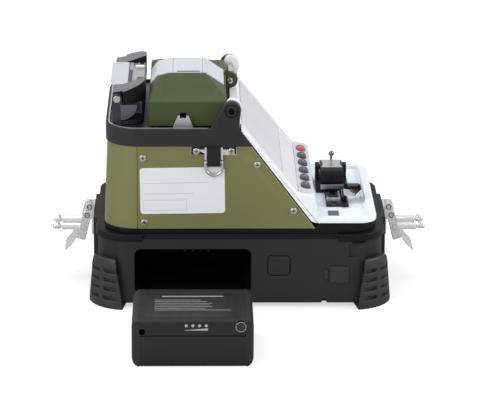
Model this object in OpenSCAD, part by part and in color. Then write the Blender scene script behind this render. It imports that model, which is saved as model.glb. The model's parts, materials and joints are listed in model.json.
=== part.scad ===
// Fibre fusion splicer on its carrying base, with the battery drawn out in front of it.
// Millimetres. +X runs to the operator's end, +Y away from the battery side, +Z up.
// The origin lies on the table, at the centre of the whole set.

/* [Base] */
// Length of the carrying base over its rim
base_l = 216; // [214:1:262]
// Width of the carrying base over its rim
base_w = 150; // [148:1:182]
// Height of the base rim above the table
base_h = 57.2; // [55:0.2:69]
// Corner radius of the base
base_r = 25; // [21:1:30]
// Wall of the base
base_wall = 3; // [2.4:0.2:3.6]
// Ground clearance under the base
foot_h = 3.3; // [2.4:0.1:4.5]
// Height of the corner bumpers
bumper_h = 38; // [32:1:46]

/* [Machine] */
// Rise of the machine body above the base rim
body_rise = 81.1; // [72:0.1:98]
// Height of the charcoal top rim
rim_h = 13.5; // [11:0.5:16.5]
// Lean of the rear wall over its height
rear_lean = 2.6; // [0:0.1:4]
// Length of the front deck
deck_l = 44; // [40:0.5:46]
// Rise of the front deck above the base rim
deck_rise = 12.3; // [10:0.1:15]
// Horizontal run of the screen slope
screen_run = 44.1; // [42:0.1:46]
// Thickness of the side panels
panel_t = 2; // [1.5:0.1:2.4]

/* [Wind cover] */
// Length of the wind cover along the machine
cover_l = 57; // [50:0.5:58]
// Height of the wind cover
cover_h = 30; // [28:0.5:36]
// Wall of the wind cover
cover_wall = 2.5; // [1.8:0.1:3]

/* [Screen and keys] */
// Length of the glass down the slope
glass_l = 49; // [40:1:54]
// Width of the glass
glass_w = 122; // [102:1:126]
// Length of a key across the machine
key_l = 13.5; // [12:0.5:17]
// Width of a key
key_w = 6.5; // [6:0.5:8.6]
// Distance between keys
key_pitch = 20; // [18:0.5:22]

/* [Battery] */
// Width of the battery
battery_w = 86; // [72:1:96]
// Length of the battery
battery_l = 70; // [70:1:90]
// Height of the battery
battery_h = 34; // [30:0.5:36]
// How far in front of the base the battery lies
battery_out = 55; // [30:1:120]

/* [Fits] */
// Radial clearance of a turning pin
pin_gap = 0.05; // [0.02:0.01:0.1]
// Clearance round sliding keys and buttons
slide_gap = 0.35; // [0.3:0.05:0.5]
// Clearance round the battery in its bay
bay_gap = 0.4; // [0.3:0.05:0.8]

/* [Hidden] */

$fn = 64;
far_away = 400;
cut = 1;

// Base
half_l = base_l / 2;
half_w = base_w / 2;
lip = 1.5;
flange_h = 5.5;
flange_z = base_h - flange_h;
floor_t = 3;
ledge_w = 10;
ledge_h = 4;
pad_t = 2.6;
pad_w = 62;
pad_z = 18;
wall_y = -half_w + lip;
front_panel_x = 72.7;
front_panel_drop = 3.2;
bumper_r = base_r + 3.8;
bumper_flare = 2;
bumper_half_span = 36;
bumper_reach = half_w - base_r + (bumper_r + bumper_flare) * cos(45 - bumper_half_span);

// Battery bay
bay_w = battery_w + 2 * bay_gap;
bay_h = battery_h + 2 * bay_gap;
bay_l = battery_l + 4;
bay_x = -35.4;
bay_z = 10.6;
bay_r = 5;
bay_wall = 2;
bay_end_y = wall_y + bay_l;

// Release button and port in the near wall
button_w = 16.4;
button_h = 15.1;
button_r = 2.5;
button_x = 28.8;
button_z = 32.5;
button_depth = 9;
port_x0 = 67;
port_w = 14;
port_z0 = 19.6;
port_h = 12.4;
port_t = 1.2;
port_gap = 0.15;
port_roll_in = 1.5;
port_edge = 2.3;
socket_l = 9;
socket_edge = 1;
socket_wall = 2;
pocket_x0 = 81;
pocket_w = 15.5;
pocket_z0 = 39;
pocket_h = 10;
pocket_depth = 2;
drain_x0 = 61;
drain_w = 3.5;
drain_h = 2.7;

// Machine body
body_hl = half_l - 6.5;
body_hw = half_w - 2;
rim_top = base_h + body_rise;
rim_z = rim_top - rim_h;
skirt_h = 4.3;
skirt_z = base_h + skirt_h;
skirt_hw = body_hw - 1.5;
skirt_wall = 3;
frame_t = 2.5;
frame_lap = 0.5;
frame_hw = body_hw - panel_t;
rim_hl = body_hl - rear_lean + 1;
rim_hw = body_hw + 1;
rim_t = 3;
rim_ledge_w = 7;
deck_t = 5;
deck_gap = 0.2;
top_deck_z = rim_top - 1.8;
seam_x = -body_hl + 25.2;
seam_gap = 0.3;
frame_x0 = seam_x - frame_lap;
rear_wall = 1.6;

// Screen slope, key shelf and deck, as corners of the side view
deck_z = base_h + deck_rise;
deck_under = deck_z - 4.1;
deck_floor = deck_z - 2.7;
deck_rim = 6.5;
deck_r = 13;
recess_gap = 1;
foot_x = body_hl - deck_l;
recess_x0 = foot_x + recess_gap;
recess_l = deck_l - deck_rim - recess_gap;
strip_h = 0.6;
board_gap = 1.4;
key_travel = 0.8;
shelf_w = 12.65;
shelf_a = 11.4;
shelf_low = [foot_x - 2.5, deck_z + 16.5];
shelf_high = shelf_low + shelf_w * [-cos(shelf_a), sin(shelf_a)];
slope_top_z = rim_top + 4.7;
slope_top = [shelf_high[0] - screen_run, slope_top_z];
slope_a = atan2(slope_top_z - shelf_high[1], screen_run);
edge_foot = [foot_x - 4.8, deck_under + 1.2];
edge_top_x = slope_top[0] + 0.2;
edge_a = atan2(rim_top - edge_foot[1], edge_foot[0] - edge_top_x);
edge_gap = 0.9;
bezel_hw = body_hw;
bezel_wall = 2.6;
glass_x0 = 3.5;
glass_t = 1.2;
function edge_x(z) = edge_foot[0] - (z - edge_foot[1]) / tan(edge_a);
function shelf_point(x, z) =
    shelf_high + x * [cos(shelf_a), -sin(shelf_a)] + z * [sin(shelf_a), cos(shelf_a)];

// Hinge line of the wind cover, through the ears, posts and lugs
hinge_x = slope_top[0] - 5.5;
hinge_z = rim_top + 13.4;
ear_r = 7;
ear_t = 6;
ear_in = rim_hw - ear_t;
ear_clear = 1.8;
post_r = 8;
post_t = 4.5;
post_in = ear_in - 0.4 - post_t;
ear_bolt_r = 2.5;
ear_bolt_head_r = 4.2;
ear_bolt_head_t = 1.2;
ear_bolt_floor = 0.2;
hex_r = 1.9;
bar_w = 6;
lug_r = 6;
lug_in = 17.4;
lug_t = 7.6;
hinge_screw_r = 2;
hinge_block_hw = 17;
hinge_block_r = 4.6;

// Wind cover
cover_x1 = hinge_x - 3.5;
cover_x0 = cover_x1 - cover_l;
cover_hw = post_in - 1;
cover_z0 = rim_top - 0.8;
cover_z1 = cover_z0 + cover_h;
strip_hw = 22;
strip_t = 0.8;
fibre_x = hinge_x - 35.4;
fibre_z = rim_top + 6.2;
guide_w = 15.2;
guide_top_w = 8;
guide_h = 9.5;
guide_t = 3;
notch_w = 5;

// Splice unit under the wind cover
unit_w = 34;
unit_hw = 46;
unit_z0 = rim_z - 4;
groove_hw = 6;
clamp_w = 12;
clamp_t = 4;
clamp_y = 10;
clamp_cheek = 3;
clamp_pin_x = fibre_x - 11;
clamp_pin_z = fibre_z + 2;
clamp_pin_r = 1.2;
clamp_knuckle_r = 2.4;
unit_flange = 1.5;
unit_lap = 2;
lens_r = 7;
lens_bore_r = 4;
lens_l = 24;
lens_x = 9;
motor_r = 10;
motor_l = 22;

// Heater at the rear
heater_x0 = -rim_hl + rim_t + 1.6;
cover_sweep = norm([cover_x0 - hinge_x, hinge_z - cover_z0]);
heater_x1 = hinge_x - cover_sweep - 1.2;
heater_w = heater_x1 - heater_x0;
heater_hl = cover_hw - 5;
heater_r = 17;
heater_h = 14.5;
heater_top = top_deck_z + heater_h;
heater_pin = [heater_x0 + 4, heater_top + 5.5];
heater_pin_r = 1.8;
heater_ear_r = 3.6;
heater_ear_t = 4;
heater_ear_in = heater_hl - heater_ear_t;
heater_wall = 1.2;
lid_inset = 0.4;
lid_ear_gap = 0.3;
lid_z0 = heater_top + 1.6;
lid_h = 8;
wing_in = 33;
trough_w = 12;
trough_x = (heater_pin[0] + heater_ear_r + heater_x1) / 2;

// Strap clips under the rim
clip_x = hinge_x - 12.9;
clip_z = rim_z - 3.2;
clip_pitch = 25.8;
clip_t = 1.2;
clip_h = 6;
ring_w = 14.4;
ring_h = 11;
ring_wire = 1.1;
ring_z = rim_z - 11.5;
ring_y = body_hw + 2.4;
clip_lug_r = 2.2;

// Screws
screw_r = 1.5;
screw_head_r = 2.5;
screw_head_t = 1.5;
cross_l = 2.6;
cross_w = 0.6;
cross_depth = 0.7;
screw_l = panel_t + frame_t - 0.1;

// Draw latches
latch_hw = 16;
latch_plate_t = 2;
latch_x = half_l + pad_t + latch_plate_t;
latch_ear_r = 3.2;
latch_pin = [latch_x + latch_ear_r + 0.2, base_h - latch_ear_r];
latch_pin_r = 1.5;
stop_pin = [latch_x + 1.4, base_h + 3.4];
latch_ear_t = 2;
latch_plate_drop = 15;
lever_hw = latch_hw - latch_ear_t - 0.4;
lever_t = 1.6;
lever_a = 14;
lever_l = 20.5;
lever_w = 6.5;
hook_drop = 11;
hook_pin = latch_pin + hook_drop * [sin(lever_a), -cos(lever_a)];
hook_pin_r = 1.5;
hook_y = 9;
rod_r = 1.2;
sleeve_r = 2.7;
hook_l = 23;
tip_r = 2;

// Cleaver on the deck
cleaver_x0 = recess_x0 + 0.8;
cleaver_w = 24;
cleaver_y0 = 1;
cleaver_y1 = 34;
cleaver_h = 18.5;
cleaver_z = deck_floor;
cleaver_pin = [27, deck_floor + 13];
cleaver_pin_r = 1.5;
cleaver_ear_t = 3;
cleaver_ear_r = 4;
cleaver_block_h = 7;
arm_gap = 0.4;
arm_rise = 8;
seat_x0 = cleaver_x0 + 6;
seat_w = 17;
seat_y0 = -36;
seat_t = 2.2;
carriage_h = 3;
carriage_w = 8;
carriage_y = 6;
carriage_z = cleaver_z + 3.45;
carriage_in = 8;
carriage_out = 9;
flap_pin = [seat_x0 + seat_w - 3, deck_floor + 4.2];
flap_pin_r = 1;
flap_y0 = -25;
flap_y1 = -8;
flap_gap = 0.4;
flap_ear_t = 2;
flap_ear_r = 2;
knuckle_r = 1.8;

// Battery lying on the table
battery_y1 = -half_w - battery_out;
battery_y0 = battery_y1 - battery_l;
battery_r = 6;
battery_wall = 2;
battery_split = 0.675 * battery_h;
cell_r = 9.2;
cell_l = 65;
cell_gap = 0.3;
cell_pitch = 2 * cell_r + cell_gap;
cell_front = 8;
cell_y0 = battery_y0 + battery_wall + cell_front;
cell_x0 = bay_x + battery_w / 2 - battery_r - cell_l;
charge_r = 2.3;
charge_in = 7.5;
charge_drop = 8.2;
charge_depth = 9;
check_r = 2.8;
check_x = bay_x + battery_w / 2 - 9.2;
check_z = battery_h - check_r - 1.6;
check_t = 2.4;
check_proud = 0.3;

// The set is centred on the origin by moving the machine back from the battery
set_far = bumper_reach;
set_near = battery_y0 - check_proud;
machine_y = -(set_far + set_near) / 2;

// General shapes

module machine() translate([0, machine_y, 0]) children();

module both_sides() {
    children();
    mirror([0, 1, 0]) children();
}

module both_ends() {
    children();
    mirror([1, 0, 0]) children();
}

module round_rect(l, w, r) {
    square([l - 2 * r, w], center = true);
    square([l, w - 2 * r], center = true);
    for (sx = [-1, 1], sy = [-1, 1]) translate([sx * (l / 2 - r), sy * (w / 2 - r)]) circle(r);
}

module round_prism(l, w, r, z0, z1) translate([0, 0, z0]) linear_extrude(z1 - z0) round_rect(l, w, r);

module box(low, high) translate(low) cube(high - low);

// A side-view outline carried across the machine from y0 to y1
module across(y0, y1) translate([0, y1, 0]) rotate([90, 0, 0]) linear_extrude(y1 - y0) children();

// An end-view outline carried along the machine from x0 to x1
module along(x0, x1) translate([x0, 0, 0]) rotate([90, 0, 90]) linear_extrude(x1 - x0) children();

module pin_y(x, z, r, y0, y1) translate([x, y1, z]) rotate([90, 0, 0]) cylinder(r = r, h = y1 - y0);

module pin_x(y, z, r, x0, x1) translate([x0, y, z]) rotate([0, 90, 0]) cylinder(r = r, h = x1 - x0);

module on_slope() translate([slope_top[0], 0, slope_top[1]]) rotate([0, slope_a, 0]) children();

module on_shelf() translate([shelf_high[0], 0, shelf_high[1]]) rotate([0, shelf_a, 0]) children();

// Point where a line from p touches a circle, on the left seen from p
function touch(p, c, r) =
    let (d = norm(c - p), a = atan2(c[1] - p[1], c[0] - p[0]) + asin(r / d), t = sqrt(d * d - r * r))
    p + t * [cos(a), sin(a)];

// Base

module along_bay(grow, y0, y1)
    translate([bay_x, 0, bay_z + bay_h / 2])
        across(y0, y1) round_rect(bay_w + 2 * grow, bay_h + 2 * grow, bay_r + grow);

module tray_inside() {
    inset = lip + base_wall;
    round_prism(base_l - 2 * inset, base_w - 2 * inset, base_r - inset, foot_h + floor_t, base_h - ledge_h);
    round_prism(base_l - 2 * ledge_w, base_w - 2 * ledge_w, base_r - ledge_w, base_h - ledge_h - cut,
        base_h + cut);
}

// A block behind the port, drawn in from the port's outline on all four sides
module port_block(inset, y0, y1)
    box([port_x0 + inset, y0, port_z0 + inset], [port_x0 + port_w - inset, y1, port_z0 + port_h - inset]);

module base_tray() color("#1b1b1d") difference() {
    union() {
        round_prism(base_l - 2 * lip, base_w - 2 * lip, base_r - lip, foot_h, base_h);
        round_prism(base_l, base_w, base_r, flange_z, base_h);
        both_ends() box([half_l - 2 * lip, -pad_w / 2, pad_z], [half_l + pad_t, pad_w / 2, base_h]);
    }
    difference() {
        tray_inside();
        along_bay(bay_wall, wall_y, bay_end_y + bay_wall);
    }
    along_bay(0, wall_y - cut, bay_end_y);
    // the flange stops short over the bay and the ports
    box([-front_panel_x, -half_w - cut, flange_z], [front_panel_x, wall_y, base_h + cut]);
    box([-front_panel_x, -half_w - cut, base_h - front_panel_drop], [front_panel_x, wall_y + base_wall - cut,
        base_h + cut]);
    translate([button_x, 0, button_z])
        across(wall_y - cut, wall_y + base_wall + cut)
            round_rect(button_w + 2 * slide_gap, button_h + 2 * slide_gap, button_r + slide_gap);
    port_block(port_edge, wall_y - cut, wall_y + base_wall + cut);
    // clip pocket and drain notch
    translate([pocket_x0, wall_y, pocket_z0]) box([0, -cut, 0], [pocket_w, pocket_depth, pocket_h]);
    translate([drain_x0, wall_y, foot_h]) box([0, -cut, -cut], [drain_w, base_wall + cut, drain_h]);
}

// One bumper wraps a corner of the base and reaches under it as a foot
module corner_bumper() {
    wall_r = base_r - lip;
    out_r = bumper_r + bumper_flare;
    foot_r = 12;
    rib_t = 2.8;
    rib_pitch = 6.9;
    rib_z = 8;
    rib_deep = 2.6;
    rib_shallow = 0.5;
    rib_start = 40;
    rib_end = 18;
    sole_h = 3;
    top_h = 2;
    top_in = 1.2;
    beyond = 20;
    slant = 8;
    slant_x = 4.6;
    taper = bumper_flare / (bumper_h - top_h - sole_h);
    translate([half_l - base_r, half_w - base_r, 0]) difference() {
        rotate([0, 0, 45 - bumper_half_span]) rotate_extrude(angle = 2 * bumper_half_span)
            polygon([[foot_r, 0], [out_r, 0], [out_r, sole_h], [bumper_r, bumper_h - top_h],
                [bumper_r - top_in, bumper_h], [wall_r, bumper_h], [wall_r, foot_h], [foot_r, foot_h]]);
        // slots that run out towards the bumper's edges, with a ridge left at the corner
        for (turn = [0, 1], i = [0 : 3]) mirror([turn, -turn, 0]) {
            z = rib_z + i * rib_pitch;
            r = out_r - taper * (z - sole_h);
            first = [cos(rib_start), sin(rib_start)];
            last = [cos(rib_end), sin(rib_end)];
            translate([0, 0, z - rib_t / 2]) linear_extrude(rib_t) polygon([
                (r - rib_deep) * first, (r + beyond) * first, (r + beyond) * last, (r - rib_shallow) * last
            ]);
        }
        // edges that lean towards the corner
        for (turn = [0, 1]) mirror([turn, -turn, 0]) translate([slant_x, 0, 0]) rotate([0, slant, 0])
            box([-far_away, 0, foot_h], [0, far_away, far_away]);
    }
}

module corner_bumpers() color("#262628") both_ends() both_sides() corner_bumper();

module battery_contacts() color("#b08d3c") {
    block_w = 32;
    block_h = 12;
    block_t = 4;
    slot_w = 2;
    slot_edge = 2;
    slot_floor = 1.2;
    slot_pitch = 6;
    translate([bay_x, bay_end_y, bay_z + bay_h / 2 - 3]) difference() {
        box([-block_w / 2, -block_t, -block_h / 2], [block_w / 2, 0, block_h / 2]);
        for (i = [-2 : 2]) translate([i * slot_pitch, 0, 0])
            box([-slot_w / 2, -block_t - cut, slot_edge - block_h / 2], [slot_w / 2, -slot_floor,
                block_h / 2 - slot_edge]);
    }
}

module usb_socket() color("#9a9ca0") difference() {
    back_y = wall_y + base_wall + socket_l;
    port_block(socket_edge, wall_y + base_wall, back_y);
    port_block(socket_edge + socket_wall, wall_y + base_wall - cut, back_y - socket_wall);
}

module port_cover() color("#202022") {
    port_block(0, wall_y - port_gap - port_t, wall_y - port_gap);
    // rolled edge that the cover turns on
    translate([port_x0, wall_y - port_gap - port_t / 2, port_z0 + port_roll_in])
        cylinder(r = port_t / 2 - 0.1, h = port_h - 2 * port_roll_in);
}

module release_button() color("#19191b") {
    shoulder = 2;
    sunk = 0.2;
    translate([button_x, 0, button_z]) {
        across(wall_y + sunk, wall_y + button_depth) round_rect(button_w, button_h, button_r);
        across(wall_y + base_wall + slide_gap, wall_y + button_depth)
            round_rect(button_w + 2 * shoulder, button_h + 2 * shoulder, button_r);
    }
}

// Machine body

module skirt_outline(inset, z0, z1)
    round_prism(2 * (body_hl - inset), 2 * (skirt_hw - inset), base_r - 2 - inset, z0, z1);

module lower_skirt() color("#161618") difference() {
    union() {
        skirt_outline(0, base_h, skirt_z);
        intersection() {
            skirt_outline(0, base_h, deck_under);
            box([edge_x(skirt_z), -far_away, 0], [far_away, far_away, far_away]);
        }
    }
    skirt_outline(skirt_wall, base_h + skirt_wall, far_away);
}

module panel_holes(r, y0, y1)
    for (p = panel_screw_places()) pin_y(p[0], p[1], r, y0, y1);

// Screw places follow the panel's own corners
function panel_screw_places() = [
    [seam_x + 4.1, rim_z - 8.8], [seam_x + 5, skirt_z + 4.9],
    [edge_x(rim_z - 13.9) - 7.2, rim_z - 13.9], [edge_x(skirt_z + 13.9) - 6.8, skirt_z + 13.9]
];

module body_frame() color("#141415") {
    bar = 8;
    both_sides() difference() {
        across(frame_hw - frame_t, frame_hw) polygon([
            [frame_x0, skirt_z], [edge_x(skirt_z) - edge_gap, skirt_z], [edge_x(rim_z) - edge_gap, rim_z],
            [frame_x0, rim_z]
        ]);
        panel_holes(screw_r + pin_gap, 0, far_away);
        clip_holes(screw_r + pin_gap, 0, far_away);
    }
    for (x = [frame_x0, edge_x(rim_z) - 2 * bar])
        box([x, -frame_hw + frame_t, rim_z - bar], [x + bar, frame_hw - frame_t, rim_z]);
    for (x = [frame_x0, edge_foot[0] - 1.5 * bar])
        box([x, -frame_hw + frame_t, skirt_z], [x + bar, frame_hw - frame_t, skirt_z + bar]);
}

module wrap_slice(inset, x_shift, z) translate([x_shift, 0, z]) linear_extrude(0.01)
    round_rect(2 * (body_hl - inset), 2 * (body_hw - inset), base_r - inset, $fn = 32);

module wrap_solid(inset, z0, z1) hull() {
    wrap_slice(inset, 0, z0);
    wrap_slice(inset, rear_lean, z1 - 0.01);
}

module rear_wrap() color("#5d6130") difference() {
    wrap_solid(0, skirt_z, rim_z);
    wrap_solid(rear_wall, skirt_z - cut, rim_z + cut);
    box([seam_x, -far_away, 0], [far_away, far_away, far_away]);
}

module side_panel() color("#5d6130") difference() {
    across(frame_hw, body_hw) polygon([
        [seam_x + seam_gap, skirt_z], [edge_x(skirt_z) - edge_gap / sin(edge_a), skirt_z],
        [edge_x(rim_z) - edge_gap / sin(edge_a), rim_z], [seam_x + seam_gap, rim_z]
    ]);
    panel_holes(screw_r + pin_gap, 0, far_away);
    clip_holes(screw_r + pin_gap, 0, far_away);
}

module side_panel_far() side_panel();

module side_panel_near() mirror([0, 1, 0]) side_panel();

module pan_screw(x, z, y) {
    difference() {
        union() {
            pin_y(x, z, screw_head_r, y, y + screw_head_t);
            pin_y(x, z, screw_r, y - screw_l, y + screw_head_t / 2);
        }
        for (a = [0, 90]) translate([x, y + screw_head_t, z]) rotate([0, a, 0])
            cube([cross_l, cross_depth * 2, cross_w], center = true);
    }
}

module panel_screws() color("#c9c9c6") both_sides() {
    for (p = panel_screw_places()) pan_screw(p[0], p[1], body_hw);
    for (s = [-1, 1]) pan_screw(clip_x + s * clip_pitch / 2, clip_z, body_hw + clip_t);
}

module rim_solid(inset, z0, z1) intersection() {
    round_prism(2 * (rim_hl - inset), 2 * (rim_hw - inset), base_r - inset, z0, z1);
    across(-far_away, far_away) polygon([
        [-far_away, z0], [edge_x(z0) - deck_gap, z0], [edge_x(z1) - deck_gap, z1], [-far_away, z1]
    ]);
}

module ear_outline() {
    left = [hinge_x - 15, rim_top];
    c = [hinge_x, hinge_z];
    front = edge_x(rim_top) - deck_gap;
    t = touch(left, c, ear_r);
    difference() {
        union() {
            translate(c) circle(ear_r);
            polygon([left, t, c, [c[0] + ear_r, c[1]], [front, rim_top], [front, rim_top - cut],
                [left[0], rim_top - cut]]);
        }
        translate(c) circle(ear_bolt_r + pin_gap);
    }
}

module top_rim() color("#2a2a2c") {
    difference() {
        rim_solid(0, rim_z, rim_top);
        rim_solid(rim_t, top_deck_z - deck_t, rim_top + cut);
        rim_solid(rim_ledge_w, rim_z - cut, top_deck_z - deck_t + cut);
    }
    both_sides() across(ear_in, rim_hw) ear_outline();
}

module ear_bolts() color("#1a1a1c") both_sides() difference() {
    union() {
        pin_y(hinge_x, hinge_z, ear_bolt_head_r, rim_hw, rim_hw + ear_bolt_head_t);
        pin_y(hinge_x, hinge_z, ear_bolt_r, post_in + 0.5, rim_hw + cut);
    }
    translate([hinge_x, rim_hw + ear_bolt_floor, hinge_z]) rotate([-90, 0, 0])
        cylinder(r = hex_r, h = ear_bolt_head_t, $fn = 6);
}

module top_deck() color("#3a3b3d") difference() {
    rim_solid(rim_t + deck_gap, top_deck_z - deck_t, top_deck_z);
    unit_slab(0, rim_z, rim_top);
    // room for the bar of the screen housing
    box([slope_top[0] - bar_w - deck_gap, -far_away, rim_z], [far_away, far_away, rim_top]);
}

module bezel_side() polygon([
    slope_top, shelf_high, shelf_low, [foot_x, deck_z], [foot_x, deck_under], edge_foot,
    [edge_x(rim_top), rim_top], [edge_x(rim_top), top_deck_z], [slope_top[0] - bar_w, top_deck_z],
    [slope_top[0] - bar_w, slope_top[1]]
]);

module post_outline() difference() {
    union() {
        translate([hinge_x, hinge_z]) circle(post_r);
        translate([hinge_x - post_r, top_deck_z]) square([2 * post_r - 1.5, hinge_z - top_deck_z]);
    }
    translate([hinge_x, hinge_z]) circle(ear_bolt_r + pin_gap);
}

module screen_bezel() color("#d4d7da") difference() {
    union() {
        across(-bezel_hw, bezel_hw) bezel_side();
        both_sides() across(post_in, post_in + post_t) post_outline();
    }
    // the ears of the top rim stand beside the bar
    both_sides() box([-far_away, post_in + post_t, rim_z], [slope_top[0] + ear_clear, far_away, far_away]);
    // window for the glass, and the opening behind it for the display
    on_slope() {
        box([glass_x0 - deck_gap, -glass_w / 2 - deck_gap, -glass_t], [glass_x0 + glass_l + deck_gap,
            glass_w / 2 + deck_gap, 10]);
        box([glass_x0 + 3, -glass_w / 2 + 5, -20], [glass_x0 + glass_l - 3, glass_w / 2 - 5, cut]);
    }
    // pocket under the key shelf, and the key holes
    across(-bezel_hw + 6, bezel_hw - 6) polygon([
        shelf_point(1.6, -bezel_wall), shelf_point(shelf_w - bezel_wall, -bezel_wall),
        [foot_x - bezel_wall, deck_under - cut], [edge_foot[0] - 4, deck_under - cut],
        shelf_point(-2, -20)
    ]);
    key_cuts(key_l, key_w);
}

module key_shape(l, w) {
    square([w, l - w], center = true);
    for (s = [-1, 1]) translate([0, s * (l - w) / 2]) circle(w / 2);
}

module key_place(i) on_shelf() translate([shelf_w / 2, (i - 3.5) * key_pitch, 0]) children();

module key_cuts(l, w) for (i = [1 : 6]) key_place(i)
    translate([0, 0, -8]) linear_extrude(16) key_shape(l + 2 * slide_gap, w + 2 * slide_gap);

module front_deck() color("#c3c8cc") difference() {
    intersection() {
        round_prism(2 * body_hl, 2 * body_hw, deck_r, deck_under, deck_z);
        box([foot_x, -far_away, 0], [far_away, far_away, far_away]);
    }
    // recess with round corners
    translate([recess_x0 + recess_l / 2, 0, 0])
        round_prism(recess_l, 2 * (body_hw - deck_rim), 6, deck_floor, deck_z + cut);
    // trough beside the cleaver
    translate([body_hl - deck_rim - 10, 4, 0]) round_prism(15, 86, 3, deck_floor - 0.6, deck_z);
}

module screen_glass() color("#9fb4c4", 0.6) on_slope()
    box([glass_x0, -glass_w / 2, -glass_t], [glass_x0 + glass_l, glass_w / 2, -0.15]);

module lcd_module() color("#2c3036") on_slope()
    box([glass_x0 + 3.5, -glass_w / 2 + 6, -glass_t - 3.4], [glass_x0 + glass_l - 3.5, glass_w / 2 - 6,
        -glass_t]);

module keypad_strip() color("#c9cdd1") difference() {
    on_shelf() translate([shelf_w / 2, 0, 0]) linear_extrude(strip_h)
        round_rect(shelf_w - 0.8, 2 * bezel_hw - 12, 4);
    key_cuts(key_l, key_w);
}

module keypad_board() color("#2f6b3f") on_shelf() {
    board_z = -bezel_wall - board_gap;
    box([2.2, -3 * key_pitch, board_z - 1.2], [shelf_w - 3.2, 3 * key_pitch, board_z]);
    // bosses that hold the board off the shelf, between the keys
    for (i = [-2 : 2]) translate([shelf_w / 2, i * key_pitch, board_z]) cylinder(r = 1.4, h = board_gap);
}

// A key with its skirt under the shelf
module key(i) key_place(i) {
    proud = 1.9;
    step = 0.6;
    stem_z = -bezel_wall - board_gap + key_travel + 0.15;
    translate([0, 0, stem_z]) linear_extrude(strip_h + proud - step - stem_z) key_shape(key_l, key_w);
    linear_extrude(strip_h + proud) key_shape(key_l - 2, key_w - 2);
}

module key_1() color("#3a3e42") key(1);
module key_2() color("#3a3e42") key(2);
module key_3() color("#3a3e42") key(3);
module key_4() color("#3a3e42") key(4);
module key_5() color("#3a3e42") key(5);
module key_6() color("#c2333b") key(6);

// Strap clips and rings

module clip_holes(r, y0, y1)
    for (s = [-1, 1]) pin_y(clip_x + s * clip_pitch / 2, clip_z, r, y0, y1);

module strap_clips() color("#b9bab8") both_sides() difference() {
    union() {
        box([clip_x - clip_pitch / 2 - 4, body_hw, clip_z - clip_h / 2], [clip_x + clip_pitch / 2 + 4,
            body_hw + clip_t, clip_z + clip_h / 2]);
        box([clip_x - ring_w / 2 + 2.4, body_hw, ring_z], [clip_x + ring_w / 2 - 2.4, body_hw + clip_t,
            clip_z]);
        box([clip_x - ring_w / 2 + 2.4, body_hw, ring_z - clip_lug_r], [clip_x + ring_w / 2 - 2.4, ring_y,
            ring_z + clip_lug_r]);
        pin_x(ring_y, ring_z, clip_lug_r, clip_x - ring_w / 2 + 2.4, clip_x + ring_w / 2 - 2.4);
    }
    pin_x(ring_y, ring_z, ring_wire + pin_gap, clip_x - far_away, clip_x + far_away);
    clip_holes(screw_r + pin_gap, 0, far_away);
}

// D-ring: a straight bar in the clip and a round bow below it
module strap_ring() color("#8f908e") {
    bow_r = ring_w / 2 - ring_wire;
    leg = ring_h - ring_w / 2;
    translate([clip_x, ring_y, ring_z]) {
        rotate([0, 90, 0]) translate([0, 0, -bow_r]) cylinder(r = ring_wire, h = 2 * bow_r);
        for (s = [-1, 1]) translate([s * bow_r, 0, -leg]) {
            cylinder(r = ring_wire, h = leg);
            translate([0, 0, leg]) sphere(r = ring_wire);
        }
        translate([0, 0, -leg]) rotate([90, 0, 0]) rotate([0, 0, 180]) rotate_extrude(angle = 180)
            translate([bow_r, 0]) circle(ring_wire);
    }
}

module strap_ring_far() strap_ring();

module strap_ring_near() mirror([0, 1, 0]) strap_ring();

// Wind cover

// Side view of the cover: upright rear, flat top, roof down to the hinge
module cover_side(inset) polygon([
    [cover_x0 + inset, cover_z0 - (inset > 0 ? cut : 0)], [cover_x0 + inset, cover_z1 - 9.5],
    [cover_x0 + 5.5 + 0.5 * inset, cover_z1 - 2.5 - inset], [cover_x0 + 14.6, cover_z1 - inset],
    [cover_x1 - 15.5, cover_z1 - inset], [cover_x1 - inset, cover_z1 - 10.5 - 0.5 * inset],
    [cover_x1 - inset, cover_z0 - (inset > 0 ? cut : 0)]
]);

// End view of the cover: upright skirts, two roof pitches, flat top
function cover_half(inset) = [
    [cover_hw - inset, cover_z0 - (inset > 0 ? cut : 0)], [cover_hw - inset, cover_z1 - 11 - 0.76 * inset],
    [strip_hw, cover_z1 - 1.04 * inset]
];

module cover_end(inset) polygon([
    for (p = cover_half(inset)) p,
    for (i = [2 : -1 : 0]) [-cover_half(inset)[i][0], cover_half(inset)[i][1]]
]);

module cover_solid(inset) intersection() {
    across(-cover_hw - cut, cover_hw + cut) cover_side(inset);
    along(cover_x0 - cut, cover_x1 + cut) cover_end(inset);
}

module wind_cover() color("#2f4a22") difference() {
    union() {
        difference() {
            cover_solid(0);
            cover_solid(cover_wall);
            // opening round the fixed hinge block
            box([cover_x1 - cover_wall - cut, -lug_in + 0.1, cover_z0 + 4.5], [far_away, lug_in - 0.1,
                hinge_z + lug_r]);
            // the fibre passes through a notch in each skirt
            both_sides() box([fibre_x - notch_w / 2, cover_hw - cover_wall - cut, 0], [fibre_x + notch_w / 2,
                cover_hw + cut, fibre_z + 3]);
        }
        both_sides() across(lug_in, lug_in + lug_t) {
            translate([hinge_x, hinge_z]) circle(lug_r);
            translate([cover_x1 - cover_wall, hinge_z - lug_r]) square([hinge_x - cover_x1 + cover_wall,
                2 * lug_r]);
        }
    }
    pin_y(hinge_x, hinge_z, hinge_screw_r + pin_gap, -far_away, far_away);
}

// Thin metal strip folded over the top of the cover
module wind_cover_strip() color("#c8ccd2") intersection() {
    difference() {
        translate([0, 0, strip_t]) across(-strip_hw, strip_hw) cover_side(0);
        across(-strip_hw - cut, strip_hw + cut) cover_side(0);
    }
    box([cover_x0 + 0.4, -strip_hw, cover_z1 - 9.4], [cover_x1 - 1.5, strip_hw, far_away]);
}

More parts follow.
